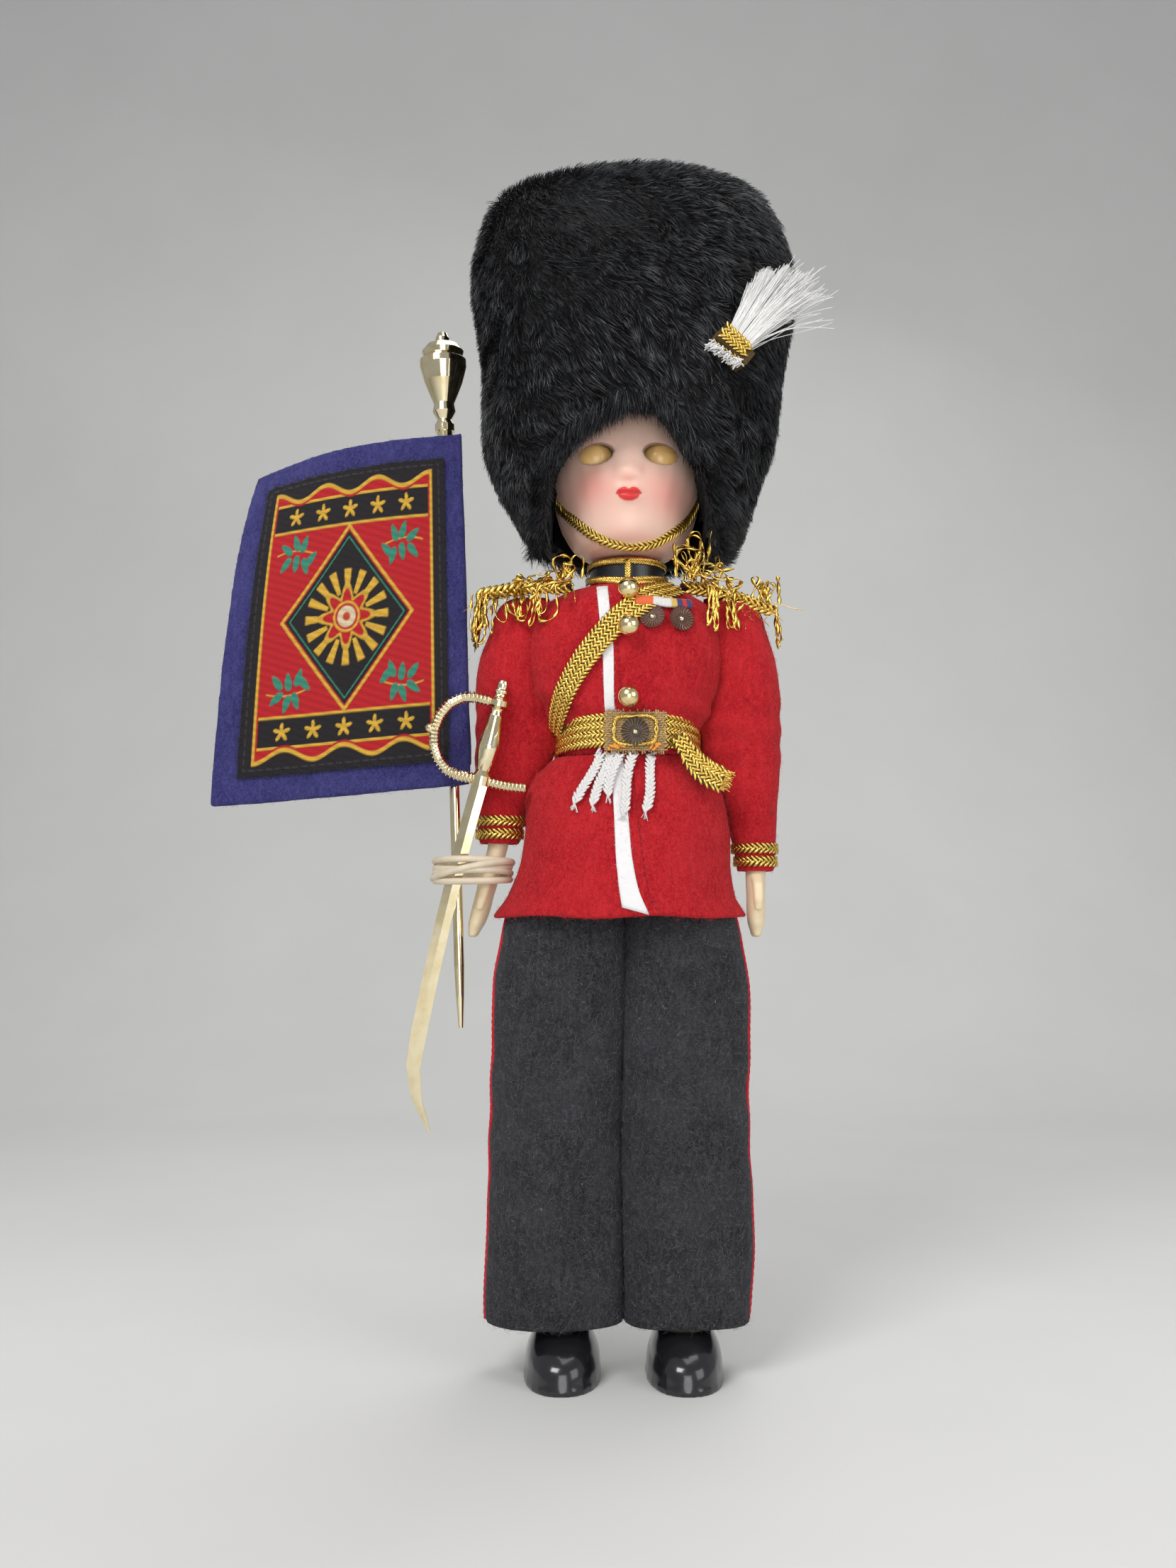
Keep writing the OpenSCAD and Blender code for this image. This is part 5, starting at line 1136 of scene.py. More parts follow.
def make_tassels():
    """Five plaited chains that fray at the end."""
    g = np.random.default_rng(43)
    s = Shape()
    t = np.linspace(0, 1, 40)
    u = np.linspace(0, 1, 5)[:, None]
    for i, (x0, x1, z1) in enumerate(TASSELS):
        x = mix(x0, x1, t) + 0.35 * np.sin(t * 5 + i)
        z = mix(TASSEL_TOP, z1, t) + 0.3 * np.sin(t * 4 + 2 * i) * t
        p, n = seated(coat, np.stack([x, 0 * x, z], 1), FRONT, 0.62, 10)
        p[:, 1] -= 0.35 * np.sin(t * 3.1) + 0.5 * np.exp(-(t / 0.15) ** 2)
        s.add(*plait(p, n, 1.5, 2, 0.82, 0.29, 34, 0.22, 200 + i))
        onward = unit(np.gradient(p, axis=0))[-1]
        across = unit(np.cross(onward, n[-1]))
        frays = []
        for _ in range(9):
            way = onward * g.uniform(0.6, 1.3) + across * g.normal(0, 0.6) + n[-1] * g.normal(0.1, 0.3)
            frays.append(p[-1] + way * u + np.array([0, 0, -0.2]) * u**2)
        s.add(*rods(np.array(frays), 0.08, 4))
    build("tassel_strands", s, YARN, "torso", ["tassels"])


# Shoulder boards: the doll's left one droops more, and its tinsel is wilder
BOARD_IN, BOARD_OUT, BOARD_Z = 10.66, 28.1, 146.9
DROOP = {LEFT: (4.2, 1.4), RIGHT: (1.2, 3)}
SLEEVE_X, SLEEVE_Y, SLEEVE_R = 21, 0.2, 7.9
TINSEL_WIDTH = 0.42


def droop(side, share):
    """How far a board hangs down at a share of its length."""
    depth, power = DROOP[side]
    return depth * share**power


def make_board(side, word):
    """Two braids side by side, and a plaited front edge."""
    u = np.linspace(0, 1, 30)
    x = side * mix(BOARD_IN, BOARD_OUT, u)
    z = BOARD_Z - droop(side, u) + 0.2 * np.sin(u * 5)
    for j, y in enumerate((-1.75, 1.75)):
        normals = np.tile(unit([0.04 * side, -0.12 if j == 0 else 0.12, 1.0]), (30, 1))
        braid_band(f"{word}_board_{j}", np.stack([x, np.full(30, y), z], 1), normals, 3.5, 3, "torso",
                   [f"{word}_board"] if j == 0 else (), seed=50 + j, thick=0.55, pitch=1.15, thread=0.36)
    # The edge that faces the front is a row of plaits as well
    edge = np.stack([x, np.full(30, -3.45), z - 0.55], 1)
    s = Shape().add(*plait(edge, np.tile([0, -1.0, 0.1], (30, 1)), 2.4, 2, 1.25, 0.40, 40, 0.15, 53))
    build(f"{word}_board_edge", s, BRAID, "torso")


def board_z(side, x):
    """Height of a board's foot over x."""
    return 146.6 - droop(side, np.clip((abs(x) - BOARD_IN) / 17.4, 0, 1))


def clear(side, q):
    """Keeps a strip of tinsel outside the sleeve and the chest under it."""
    q = q.copy()
    axis = np.array([side * SLEEVE_X, SLEEVE_Y])
    c = q[:, :2] - axis
    r = np.linalg.norm(c, axis=1)
    inside = (q[:, 2] < 144.4) & (r < SLEEVE_R) & (np.abs(q[:, 0]) > 17)
    q[:, :2] = axis + c * np.where(inside, SLEEVE_R / np.maximum(r, 0.1), 1)[:, None]
    over_chest = (np.abs(q[:, 0]) <= 19) & (q[:, 2] < 147)
    q[:, 1] = np.where(over_chest, np.minimum(q[:, 1], -9.0), q[:, 1])
    return soften(q, 2)


def make_tinsel(side, word):
    """Twisted strips in loops, heaps and strays; the order of the random draws shapes them."""
    g = np.random.default_rng(60 + side)
    fixed, wires, hang = Shape(), Shape(), Shape()
    wild = side == LEFT
    twist = (2.2, 3.4)
    sideways = np.array([side, 0, 0])
    u = np.linspace(0, 1, 26)
    # Loops that hang from the front edge and the end of the board
    for i in range(14 if wild else 28):
        end = g.random() < (0.35 if wild else 0.28)
        x0 = 28.3 if end else (g.uniform(14.5, 21.5) if wild else mix(14.8, 28.2, g.random() ** 0.7))
        root = np.array([side * x0, g.uniform(-3.6, 2.5) if end else -3.9, board_z(side, x0) - 0.4])
        far = 3.2 * np.clip((x0 - 18) / 10, 0, 1)
        drop = g.uniform(4.0, 8.5) if wild else g.uniform(5.5, 8.5) + far * g.random()
        wide = g.normal(0, 1.1) + (0.5 if g.random() < 0.5 else -0.5)
        across = np.array([0, 1.0, 0]) if end else sideways
        q = root - np.outer(drop * np.sin(math.pi * u) ** 0.75, [0, 0, 1])
        bow = wide * (u - 0.5) * 2 * np.sin(math.pi * np.clip(u * 0.9 + 0.1, 0, 1)) + wide * u
        q = q + np.outer(bow + 0.4 * np.sin(u * 8 + i), across)
        away = sideways if end else [0.1 * side, -1.0, 0]
        q = q + np.outer(np.sin(math.pi * u) ** 0.5 * g.uniform(0.2, 1.4), away)
        loop = tinsel(clear(side, q), TINSEL_WIDTH, g.uniform(*twist), 1000 + i + 100 * side)
        (fixed if x0 < 17.5 else hang).add(*loop)
    # Heaps of loops that stand up from the board and lie over the chest: middle, spread, rise, how many
    heaps = ((11.8, 2.0, 4.5, 5), (14.0, 2.4, 3.0, 4), (20, 5.0, 1.4, 3))
    if wild:
        heaps = ((12.2, 3.4, 9.5, 8), (16.0, 3.0, 6.5, 4), (26.5, 2.0, 6.0, 8), (19.0, 4.0, 2.5, 2))
    fat = np.sin(math.pi * u)
    for j, (middle, spread, rise, many) in enumerate(heaps):
        for i in range(many):
            x0 = middle + g.normal(0, spread * 0.4)
            x1 = x0 + g.normal(0, spread * 0.6)
            up = rise * g.uniform(0.35, 1.0)
            bulge = g.normal(0, spread * 0.55)
            y0 = min(-4.2, -7.6 + (x0 - 11) * 0.9) - g.uniform(0, 0.8)
            x = side * (mix(x0, x1, u) + bulge * np.sin(TAU * u) * 0.8 + g.normal(0, 0.8) * fat)
            z = mix(board_z(side, x0), board_z(side, x1), u) + 0.6 + up * fat**0.7
            y = y0 - 1.3 * fat * g.uniform(0, 1) + 0.4 * np.sin(u * 7 + i)
            path = np.stack([x, y, z], 1)
            fixed.add(*tinsel(path, TINSEL_WIDTH, g.uniform(*twist), 3000 + 50 * j + i + 100 * side))
    # Strands that run out to one side, and stray wires
    v = np.linspace(0, 1, 14)
    for i in range(9 if wild else 8):
        x0 = g.uniform(10, 16) if wild else g.uniform(9.5, 15)
        root = np.array([side * x0, -7.8, 147.2 + (g.uniform(0, 3) if wild else 0)])
        way = unit([side * g.normal(0.3, 0.8), -0.25, g.uniform(-0.9, 0.9 if wild else 0.25)])
        sag = 0.5 * np.sin(v * 6 + i) - 1.2 * v**2
        q = root + np.outer(v * g.uniform(3, 7.5), way) + np.outer(sag, [0, 0, 1])
        q[:, 1] = np.minimum(q[:, 1], np.where(q[:, 2] < 146.5, -9.8, -7.6))
        fixed.add(*tinsel(soften(q, 2), 0.40, g.uniform(2.2, 3.2), 4000 + i + 100 * side))
    v = np.linspace(0, 1, 10)
    for _ in range(16):
        x, y = side * g.uniform(20, 27.5), g.uniform(-4.9, -4.2)
        root = np.array([x, y, board_z(side, 24) - g.uniform(0, 3)])
        size = g.uniform(2, 6)
        way = unit([side * g.normal(0.4, 0.5), -abs(g.normal(0.6, 0.3)), g.normal(-0.5, 0.5)])
        q = root + np.outer(v * size, way)
        wires.add(*rods(soften(q + g.normal(0, 0.2, q.shape), 2), 0.06, 4), (0.7, 0.42, 0.08))
    build(f"{word}_tinsel", fixed, TINSEL, "torso", [f"{word}_fringe"])
    # What hangs over the sleeve is lifted with the arm
    lift = ("torso", f"{word}_arm_body", (side * 22, -5, 146.0), (side * 22, -5, 141.5))
    build(f"{word}_tinsel_hanging", hang, TINSEL, lift)
    build(f"{word}_tinsel_wires", wires, TINSEL, lift)


def make_cuff(side, word):
    """Two braided rows with the sleeve's red between them."""
    foot, top = box_mm(f"{word}_cuff_braid")
    middle = (foot + top) / 2
    sleeve = tree(sleeves[side])
    a = np.linspace(0, TAU, 61) + math.pi
    n = np.stack([np.sin(a), -np.cos(a), 0 * a], 1)
    for j, z in enumerate((foot[2] + 0.8, top[2] - 0.8)):
        p = np.array([seat(sleeve, np.array([middle[0], middle[1], z]) + m * 0.1, -m, 14)[0] for m in n])
        p[:, 2] = z
        for _ in range(8):
            p = (np.roll(p[:-1], 1, 0) + 2 * p[:-1] + np.roll(p[:-1], -1, 0)) / 4
            p = np.concatenate([p, p[:1]])
        braid_band(f"{word}_cuff_{j}", p + n * 0.25, n, 1.65, 2, f"{word}_arm_body",
                   [f"{word}_cuff_braid"] if j == 0 else (), seed=70 + j, thick=0.2, pitch=1.0, thread=0.27)


# Red felt that shows at the top of the collar: radius and height of each ring
NECK_FELT = ((6.9, 149.6), (6.95, 151.3), (6.6, 151.75), (6.0, 151.7), (5.7, 151.0), (5.7, 149.6))


def make_neck_felt():
    """A rolled edge of felt."""
    a = TAU * np.arange(72) / 72
    rings = [np.stack([r * np.sin(a), -r * np.cos(a), z + 0.12 * np.sin(3 * a)], 1) for r, z in NECK_FELT]
    build("neck_felt", Shape().add(np.concatenate(rings), grid_faces(6, 72)), RED, "torso")


# Hat: height, middle, half width, half depth in front and behind, all as shares
HAT = ((0, .02, .62, .46, .66), (.06, .01, .71, .64, .78), (.16, 0, .8, .82, .9), (.27, .01, .885, .93, .97),
       (.4, .02, .94, .98, 1), (.52, .03, .975, 1, 1.03), (.64, .045, 1, .99, 1.03), (.76, .04, .99, .95, 1),
       (.86, .02, .94, .88, .93), (.93, 0, .87, .76, .8), (.975, -.02, .7, .56, .6), (1, -.03, .36, .3, .32))
hat_low, hat_high = box_mm("bearskin")
HAT_Z, HAT_H, HAT_HALF_X, HAT_HALF_Y = hat_low[2], hat_high[2] - hat_low[2], 31.3, 23.0


def hat_section(z):
    """At a height: its share of the hat's height, the hat's middle and its half width."""
    t = np.clip((z - HAT_Z) / HAT_H, 0, 1)
    return t, table(HAT, 1, t) * HAT_HALF_X, table(HAT, 2, t) * HAT_HALF_X


def hat_rho(p):
    """1 on the hat's outline at a point's height, less inside it."""
    t, mid, half = hat_section(p[:, 2])
    deep = np.where(p[:, 1] < 0, table(HAT, 3, t), table(HAT, 4, t)) * HAT_HALF_Y
    return (np.abs((p[:, 0] - mid) / half) ** 2.5 + np.abs(p[:, 1] / deep) ** 2.5) ** 0.4


def hat_outer(p, n):
    """1 on the outside of the hat, 0 in its hollows."""
    c = np.stack([0 * p[:, 0] + 0.6, 0 * p[:, 0], np.clip(p[:, 2], HAT_Z + 18, HAT_Z + HAT_H - 22)], 1)
    facing = (unit(p - c) * n).sum(1)
    return ease((facing - 0.05) / 0.25) * np.where(p[:, 2] > HAT_Z + 30, 1, ease((hat_rho(p) - 0.80) / 0.08))


# Line where the fur starts over the face, and the sides of the opening
BROW = ((-16, 153), (-15.4, 161), (-14.9, 165.6), (-13.1, 168.3), (-8.9, 172.2), (-3.0, 175.9), (1.45, 177.6),
        (4.2, 177.4), (5.8, 176.3), (7.6, 173.8), (9.0, 171.6), (11.5, 168.2), (13.8, 164.5), (15, 160),
        (15.8, 153))


def opened(p):
    """1 in the part of the hat that is cut away in front of the face."""
    return (p[:, 1] < -4) & (p[:, 2] < table(BROW, 1, p[:, 0])) & (np.abs(p[:, 0]) < 15.4)


def hide_move(p, n):
    q = p - n * (2.3 * hat_outer(p, n))[:, None]
    ball = np.sqrt(np.maximum(0, 1 - (q[:, 0] / 15.5) ** 2 - ((q[:, 2] - 168) / 18.5) ** 2))
    q[:, 1] = np.where(opened(p), np.maximum(q[:, 1], -0.6 * 15 * ball), q[:, 1])
    return q


def skin_move(p, n):
    return p + n * (0.8 * noise(p, 16, 70) * hat_outer(p, n) - 0.35)[:, None]


def swirl(p, size, seed):
    return np.stack([noise(p, size, seed + i) for i in range(3)], 1)


# Fur in two lots; its tips gather into tufts round some of them
FUR_COUNT, TUFTS, HAIR_STEPS = 46000, 9000, (0, 0.36, 0.7, 1.0)


def make_hat_fur():
    """Hairs that lie down to one side, on a skin that is thrown away at the end."""
    skin = soft_copy("bearskin", "fur_skin", 0.8, 5, skin_move)
    for lot in range(2):
        root, n, g = sampled(skin, FUR_COUNT, 700 + lot, lambda p, m: hat_outer(p, m) * ~opened(p))
        comb = np.array([0.55, 0, -0.75]) + 0.35 * swirl(root, 22, 71) + 0.35 * swirl(root, 2.6, 74)
        comb = comb - n * (comb * n).sum(1, keepdims=True)
        comb = comb / (0.6 + np.linalg.norm(comb, axis=1, keepdims=True))
        base = root - n * 1.45
        length = g.uniform(0.75, 1.2, (FUR_COUNT, 1)) * 3.4
        ways = np.stack([n * length * (0.82 * u - 0.30 * u * u) + comb * length * 1.15 * u**1.3
                         for u in HAIR_STEPS], 1)
        tips = base + ways[:, -1]
        kd = KDTree(TUFTS)
        pick = g.choice(FUR_COUNT, TUFTS, replace=False)
        for i, q in enumerate(pick):
            kd.insert(tips[q], i)
        kd.balance()
        near = np.array([tips[pick[kd.find(tip)[1]]] for tip in tips])
        pull = (near - tips) * g.uniform(0.2, 0.6, (FUR_COUNT, 1))
        for j, u in enumerate(HAIR_STEPS):
            ways[:, j] += pull * u**1.6
        ways[:, -1] += g.normal(0, 0.12, (FUR_COUNT, 3))
        pts, quads = ribbons(base, ways, g.uniform(0.13, 0.22, FUR_COUNT), g, 0.2)
        stands_for = ["bearskin"] if lot == 0 else ()
        build(f"hat_fur_{lot}", Shape().add(pts, quads), FUR, "head", stands_for)
    bpy.data.objects.remove(skin)


def make_hat_backing():
    """The dark body under the fur."""
    hide = soft_copy("bearskin", "hat_backing", 0.7, 5, hide_move)
    place(hide, HIDE, "head")


def hat_front(x, z):
    """y of the hat's front over x and z."""
    t, mid, half = hat_section(z)
    return -table(HAT, 3, t) * HAT_HALF_Y * np.maximum(0.02, 1 - np.abs((x - mid) / half) ** 2.5) ** 0.4


def make_face_fur():
    """Fur round the face opening hangs over its edge."""
    count = 11000
    g = np.random.default_rng(77)
    brow = front_line(BROW, 200, 0)
    i = g.integers(0, 199, count)
    edge_out = unit(np.stack([-np.gradient(brow[:, 2]), 0 * brow[:, 0], np.gradient(brow[:, 0])], 1))
    root = brow[i] + edge_out[i] * g.uniform(-0.2, 2.6, (count, 1))
    root[:, 1] = hat_front(root[:, 0], root[:, 2]) + 0.8 + g.uniform(0, 3.6, count)
    lean = np.stack([0.25 * np.sign(root[:, 0]), np.full(count, -0.75), np.full(count, -0.6)], 1)
    lean = lean + g.normal(0, 0.24, (count, 3))
    high = ease((root[:, 2] - 164) / 8)[:, None]
    way = unit(lean + high * np.array([0, 0.1, -0.5])) * g.uniform(2.0, 3.6, (count, 1))
    bend = np.array([0.0, 0.1, -0.9]) * g.uniform(0.6, 1.6, (count, 1)) * (0.4 + 0.6 * high)
    ways = np.stack([way * v + bend * v * v for v in HAIR_STEPS], 1)
    pts, quads = ribbons(root, ways, g.uniform(0.12, 0.2, count), g, 0.25)
    build("face_fur", Shape().add(pts, quads), FUR, "head")


# Plume: strands that fan out from a braided band
PLUME_LEAN, PLUME_FAN, PLUME_LONG, STRANDS = math.radians(36), 4.7, 20.6, 2300
PLUME_WAY = unit([math.sin(PLUME_LEAN), 0.12, math.cos(PLUME_LEAN)])
PLUME_SIDE = unit(np.cross(PLUME_WAY, [0, -1.0, 0]))
PLUME_DEEP = np.cross(PLUME_SIDE, PLUME_WAY)
PLUME_FOOT = sum(box_mm("plume_band")) / 2 + np.array([0.3, 0.8, 0.25])


def make_plume():
    """The strands; o1 and o2 are each one's place across and in the depth of the band, from -1 to 1."""
    g = np.random.default_rng(80)
    u = np.linspace(0, 1, 12)
    o1, o2 = g.uniform(-1, 1, STRANDS), g.uniform(-1, 1, STRANDS)
    stray = (g.random(STRANDS) < 0.05) & (o1 > -0.2)
    o1 = np.where(np.abs(np.sin(o1 * 9)) < 0.35, o1 + 0.06, o1)
    fan = o1 * PLUME_FAN + 0.8 * np.sin(o1 * 11) + g.normal(0, 0.35, STRANDS)
    fan = fan + stray * np.abs(g.normal(0, 3.5, STRANDS))
    length = (PLUME_LONG - 4.0 * np.abs(o1 - 0.2) ** 1.6) * g.uniform(0.68, 1.0, STRANDS)
    length = length * np.where(stray, 1.18, 1)
    lines = (PLUME_FOOT + np.outer(o1 * 2.2, PLUME_SIDE) + np.outer(o2 * 0.75, PLUME_DEEP))[:, None]
    lines = lines + length[:, None, None] * u[None, :, None] * PLUME_WAY
    lines = lines + (fan - o1 * 2.2)[:, None, None] * (u**1.3)[None, :, None] * PLUME_SIDE
    lines = lines + (o2 * 1.2)[:, None, None] * (np.sin(u * math.pi) * 0.8)[None, :, None] * PLUME_DEEP
    sway = np.sin(u[None] * 5 + g.uniform(0, TAU, STRANDS)[:, None]) * u[None]
    lines = lines + ((0.35 + 0.5 * stray)[:, None] * sway)[..., None] * PLUME_SIDE
    lines = lines + np.array([0, 0, -1.4]) * (np.maximum(0, o1)[:, None] * u[None] ** 3)[..., None]
    r = np.broadcast_to(np.linspace(0.095, 0.05, 12), (STRANDS, 12))
    build("plume_strands", Shape().add(*rods(lines, r, 4)), SILK, "head", ["plume"])
    return g


def make_plume_band(g):
    """Three plaits over the band's solid, painted dark as shade between them, and frayed cloth that sticks
    out under it.
    """
    band = tree(nodes["plume_band"])
    dress("plume_band", SHADE_BACKING)
    s = Shape()
    across = np.outer(np.linspace(-3.0, 3.0, 14), PLUME_SIDE)
    for j in (-1, 0, 1):
        pts = PLUME_FOOT + np.array([0, -2, 0]) + across + PLUME_WAY * (j * 1.55 - 0.2)
        p, n = seated(band, pts, FRONT, 0.05, 6)
        s.add(*plait(p + np.array([0, -0.25, 0]), n, 1.5, 2, 0.85, 0.27, BRAID_SLANT, 0.12, 81 + j))
    build("plume_band_braid", s, BRAID, "head")
    v = np.linspace(0, 1, 6)[:, None]
    frays = []
    for _ in range(150):
        root = PLUME_FOOT + PLUME_SIDE * g.uniform(-3.4, 3.2) - PLUME_WAY * g.uniform(1.6, 2.5)
        root = root + np.array([0, -g.uniform(1.2, 2.9), 0])
        way = -PLUME_WAY * g.uniform(0.5, 1.7) + PLUME_SIDE * g.normal(-0.25, 0.5)
        way = way + np.array([0, -g.uniform(0.0, 0.5), 0])
        frays.append(root + way * v + PLUME_SIDE * g.normal(0, 0.35) * v * v)
    build("plume_band_fray", Shape().add(*rods(np.array(frays), 0.11, 5)), SILK, "head")


# Face: bumps that stand out to the front, each with height, x, z, half width and half height
FACE_FORM = (
    (0.5, -1.0, 162.0, 1.2, 0.6), (0.5, 1.0, 162.0, 1.2, 0.6), (0.6, 0, 160.75, 1.6, 0.75),
    (-0.32, 0, 161.45, 2.1, 0.24), (0.55, 0, 155.4, 3.2, 2.2), (0.4, -7.5, 162.6, 3.8, 3.4),
    (0.4, 7.5, 162.2, 3.8, 3.4), (0.95, 0, 165.7, 2.2, 1.5), (0.4, 0, 169.4, 1.5, 2.8),
    (-0.25, 0, 163.5, 1.4, 0.6),
)
EYE_X, EYE_Y, EYE_Z, EYE_TURN = 6, -8.81, 169.4, math.radians(70)


def bell(p, x, z, rx, rz):
    return np.exp(-(np.abs((p[:, 0] - x) / rx) ** 2.0 + np.abs((p[:, 2] - z) / rz) ** 2.0))


def face_move(p):
    front = ease((-p[:, 1] - 5) / 4)
    q = p.copy()
    q[:, 1] -= sum(high * bell(p, *spot) for high, *spot in FACE_FORM) * front
    q[:, 0] *= 1 - 0.07 * np.exp(-((p[:, 2] - 159.5) / 3.8) ** 2) * ease(-p[:, 1] / 5)
    return q


def face_keep(p):
    """1 on the face's front, 0 round the eyes and at its back and foot."""
    eyes = [np.hypot((p[:, 0] - x) / 3.5, (p[:, 2] - EYE_Z) / 2.3) for x in (EYE_X, -EYE_X)]
    near_eye = ease((np.minimum(*eyes) - 1.0) / 0.5)
    return near_eye * ease((-p[:, 1] - 1.5) / 2) * ease((p[:, 2] - 153.2) / 1.5)


def face_paint(p):
    """Cheeks, painted shadows under the nose, beside it and under the chin, lips, and lines round the eyes,
    the upper ones darker as painted shade.
    """
    paint = np.tile(np.array(FACE_TONE), (len(p), 1))

    def dab(where, colour, amount):
        w = np.clip(where * amount, 0, 1)[:, None]
        paint[:] = paint * (1 - w) + np.array(colour) * w

    x, z = p[:, 0], p[:, 2]
    dab(bell(p, -6.8, 163.2, 4.4, 3.6) + bell(p, 7.0, 162.0, 4.4, 3.8), (0.80, 0.22, 0.18), 0.55)
    # Painted shadow under the nose and painted shade beside it, then painted shadow under the chin
    dab(bell(p, 0, 164.2, 1.9, 0.55), (0.66, 0.28, 0.21), 0.5)
    dab(bell(p, -2.5, 165.9, 0.7, 1.4) + bell(p, 2.5, 165.9, 0.7, 1.4), (0.66, 0.34, 0.26), 0.4)
    dab(bell(p, 0, 153.5, 9, 1.6), (0.75, 0.36, 0.26), 0.5)
    front = ease((-p[:, 1] - 7) / 2)
    bow = 1 - 0.38 * np.exp(-(x / 0.5) ** 2)
    lip_top = 161.35 + 1.25 * np.sqrt(np.maximum(0, 1 - (np.abs(x) / 2.4) ** 2)) * bow
    lip_low = 161.3 - 1.3 * np.sqrt(np.maximum(0, 1 - (np.abs(x) / 2.0) ** 2))
    lips = np.minimum(ease((lip_top - z) / 0.22 + 0.5), ease((z - lip_low) / 0.22 + 0.5)) * (np.abs(x) < 2.4)
    dab(lips * front, (0.66, 0.012, 0.016), 1.0)
    dab(lips * front * np.exp(-((z - 161.4) / 0.16) ** 2), (0.25, 0.005, 0.01), 0.35)
    # A thin line round each eye; the upper one is darker, painted shade under the socket's rim
    for eye_x in (-EYE_X, EYE_X):
        r = np.hypot((x - eye_x) / 3.1, (z - EYE_Z) / 1.9)
        dab(np.exp(-((r - 1.02) / 0.07) ** 2) * front * (z < EYE_Z), (0.35, 0.20, 0.14), 0.5)
        dab(np.exp(-((r - 1.04) / 0.08) ** 2) * front * (z >= EYE_Z), (0.10, 0.05, 0.03), 0.85)
    return paint


def make_face():
    """The moulded front of the head, painted."""
    face = soft_copy("head_front", "face", 0.27, 3)
    even(face, 110, face_keep)
    set_points(face, face_move(points_of(face)))
    shade_smooth(face.data)
    paint_points(face.data, face_paint(points_of(face)))
    place(face, FACE, "head", ["head_front"])
    return face


# Chin strap, laid on the face
CHIN = ((-14.3, 165.2), (-12.9, 161.9), (-9.5, 157.7), (-6.7, 154.9), (-3.1, 153.0), (0.5, 152.5),
        (4.4, 153.0), (7.6, 154.9), (10.5, 157.7), (12.9, 161.6), (14.2, 165.2))


def make_chin_strap(face):
    """Braid from ear to ear under the chin."""
    p, n = seated(tree(face), front_line(CHIN, 70, 6), FRONT, 0.12, 10)
    n = unit(soften(n * (1, 1, 0.5) + np.array([0, -0.25, 0]), 6))
    braid_band("chin_strap_braid", p, n, 1.75, 2, "head", ["chin_strap"], seed=83, thick=0.2, pitch=0.95,
               thread=0.27)


def eye_look(side, word):
    """Eyeball: a tan lid in front at rest, and the painted eye where it comes to the front when open."""
    k = Look(f"eye_{word}", (0.5, 0.33, 0.16), 0.3, Coat_Weight=0.4, Coat_Roughness=0.12)
    v = k.new("VectorMath", operation="SUBTRACT")
    k.link(k.c, v.inputs[0])
    v.inputs[1].default_value = row((side * EYE_X, EYE_Y, EYE_Z))
    way = k.new("VectorMath", operation="NORMALIZE")
    k.link(v.outputs[0], way.inputs[0])
    dot = k.new("VectorMath", operation="DOT_PRODUCT")
    k.link(way.outputs[0], dot.inputs[0])
    dot.inputs[1].default_value = (0, -math.cos(EYE_TURN), -math.sin(EYE_TURN))
    lid = k.ramp(k.noise(2.0, 3), [(0.3, (0.78, 0.47, 0.16)), (0.7, (0.90, 0.57, 0.22))])
    white, pupil = (0.85, 0.83, 0.80), (0.004, 0.004, 0.004)
    rim, iris, middle = (0.05, 0.02, 0.01), (0.22, 0.09, 0.03), (0.30, 0.13, 0.04)
    stops = [(0.0, white), (0.905, white), (0.912, rim), (0.925, iris), (0.972, middle), (0.980, pupil)]
    eye = k.ramp(dot.outputs["Value"], stops)
    k.colour(k.blend(k.math("GREATER_THAN", dot.outputs["Value"], 0.74), lid, eye))
    k.bump(k.noise(1.2, 4), 0.02, 0.4)
    return k.m


# Sword: ribs round the knuckle guard, a knob on its bow, and the turned grip and pommel. All are given
# in the sword's own frame, and on_sword() tilts them and puts them in the hand.
SWORD_LEAN, SWORD_TURN, SWORD_PIVOT, SWORD_AT = 13, 7, 18.36, (-31.44, -3.456, 92.39)
BOW_OUT = 10.6
KNOB = ((0.0, -1.1), (0.55, -1.0), (0.85, -0.5), (0.95, 0), (0.8, 0.55), (0.4, 0.95), (0.02, 1.1))
GRIP = ((0.1, 0.02), (0.1, 1.0), (1.2, 1.3), (3, 1.75), (5.4, 2.05), (8, 1.75), (10.5, 1.35), (12.6, 1.05),
        (13.3, 1.3), (13.3, 0.02))
POMMEL = ((14.3, 0.02), (14.4, 1.1), (14.8, 1.45), (15.2, 1.1), (15.6, 0.95), (15.9, 1.25), (16.3, 1.3),
          (16.7, 0.95), (17.1, 1.0), (17.6, 1.0), (18.2, 0.75), (18.5, 0.02))


def on_sword(p):
    a, b = math.radians(SWORD_LEAN), math.radians(SWORD_TURN)
    x, y, z = p[:, 0], p[:, 1], p[:, 2] + SWORD_PIVOT
    x, z = x * math.cos(a) + z * math.sin(a), -x * math.sin(a) + z * math.cos(a)
    y, z = y * math.cos(b) - z * math.sin(b), y * math.sin(b) + z * math.cos(b)
    return np.stack([x, y, z], 1) + SWORD_AT


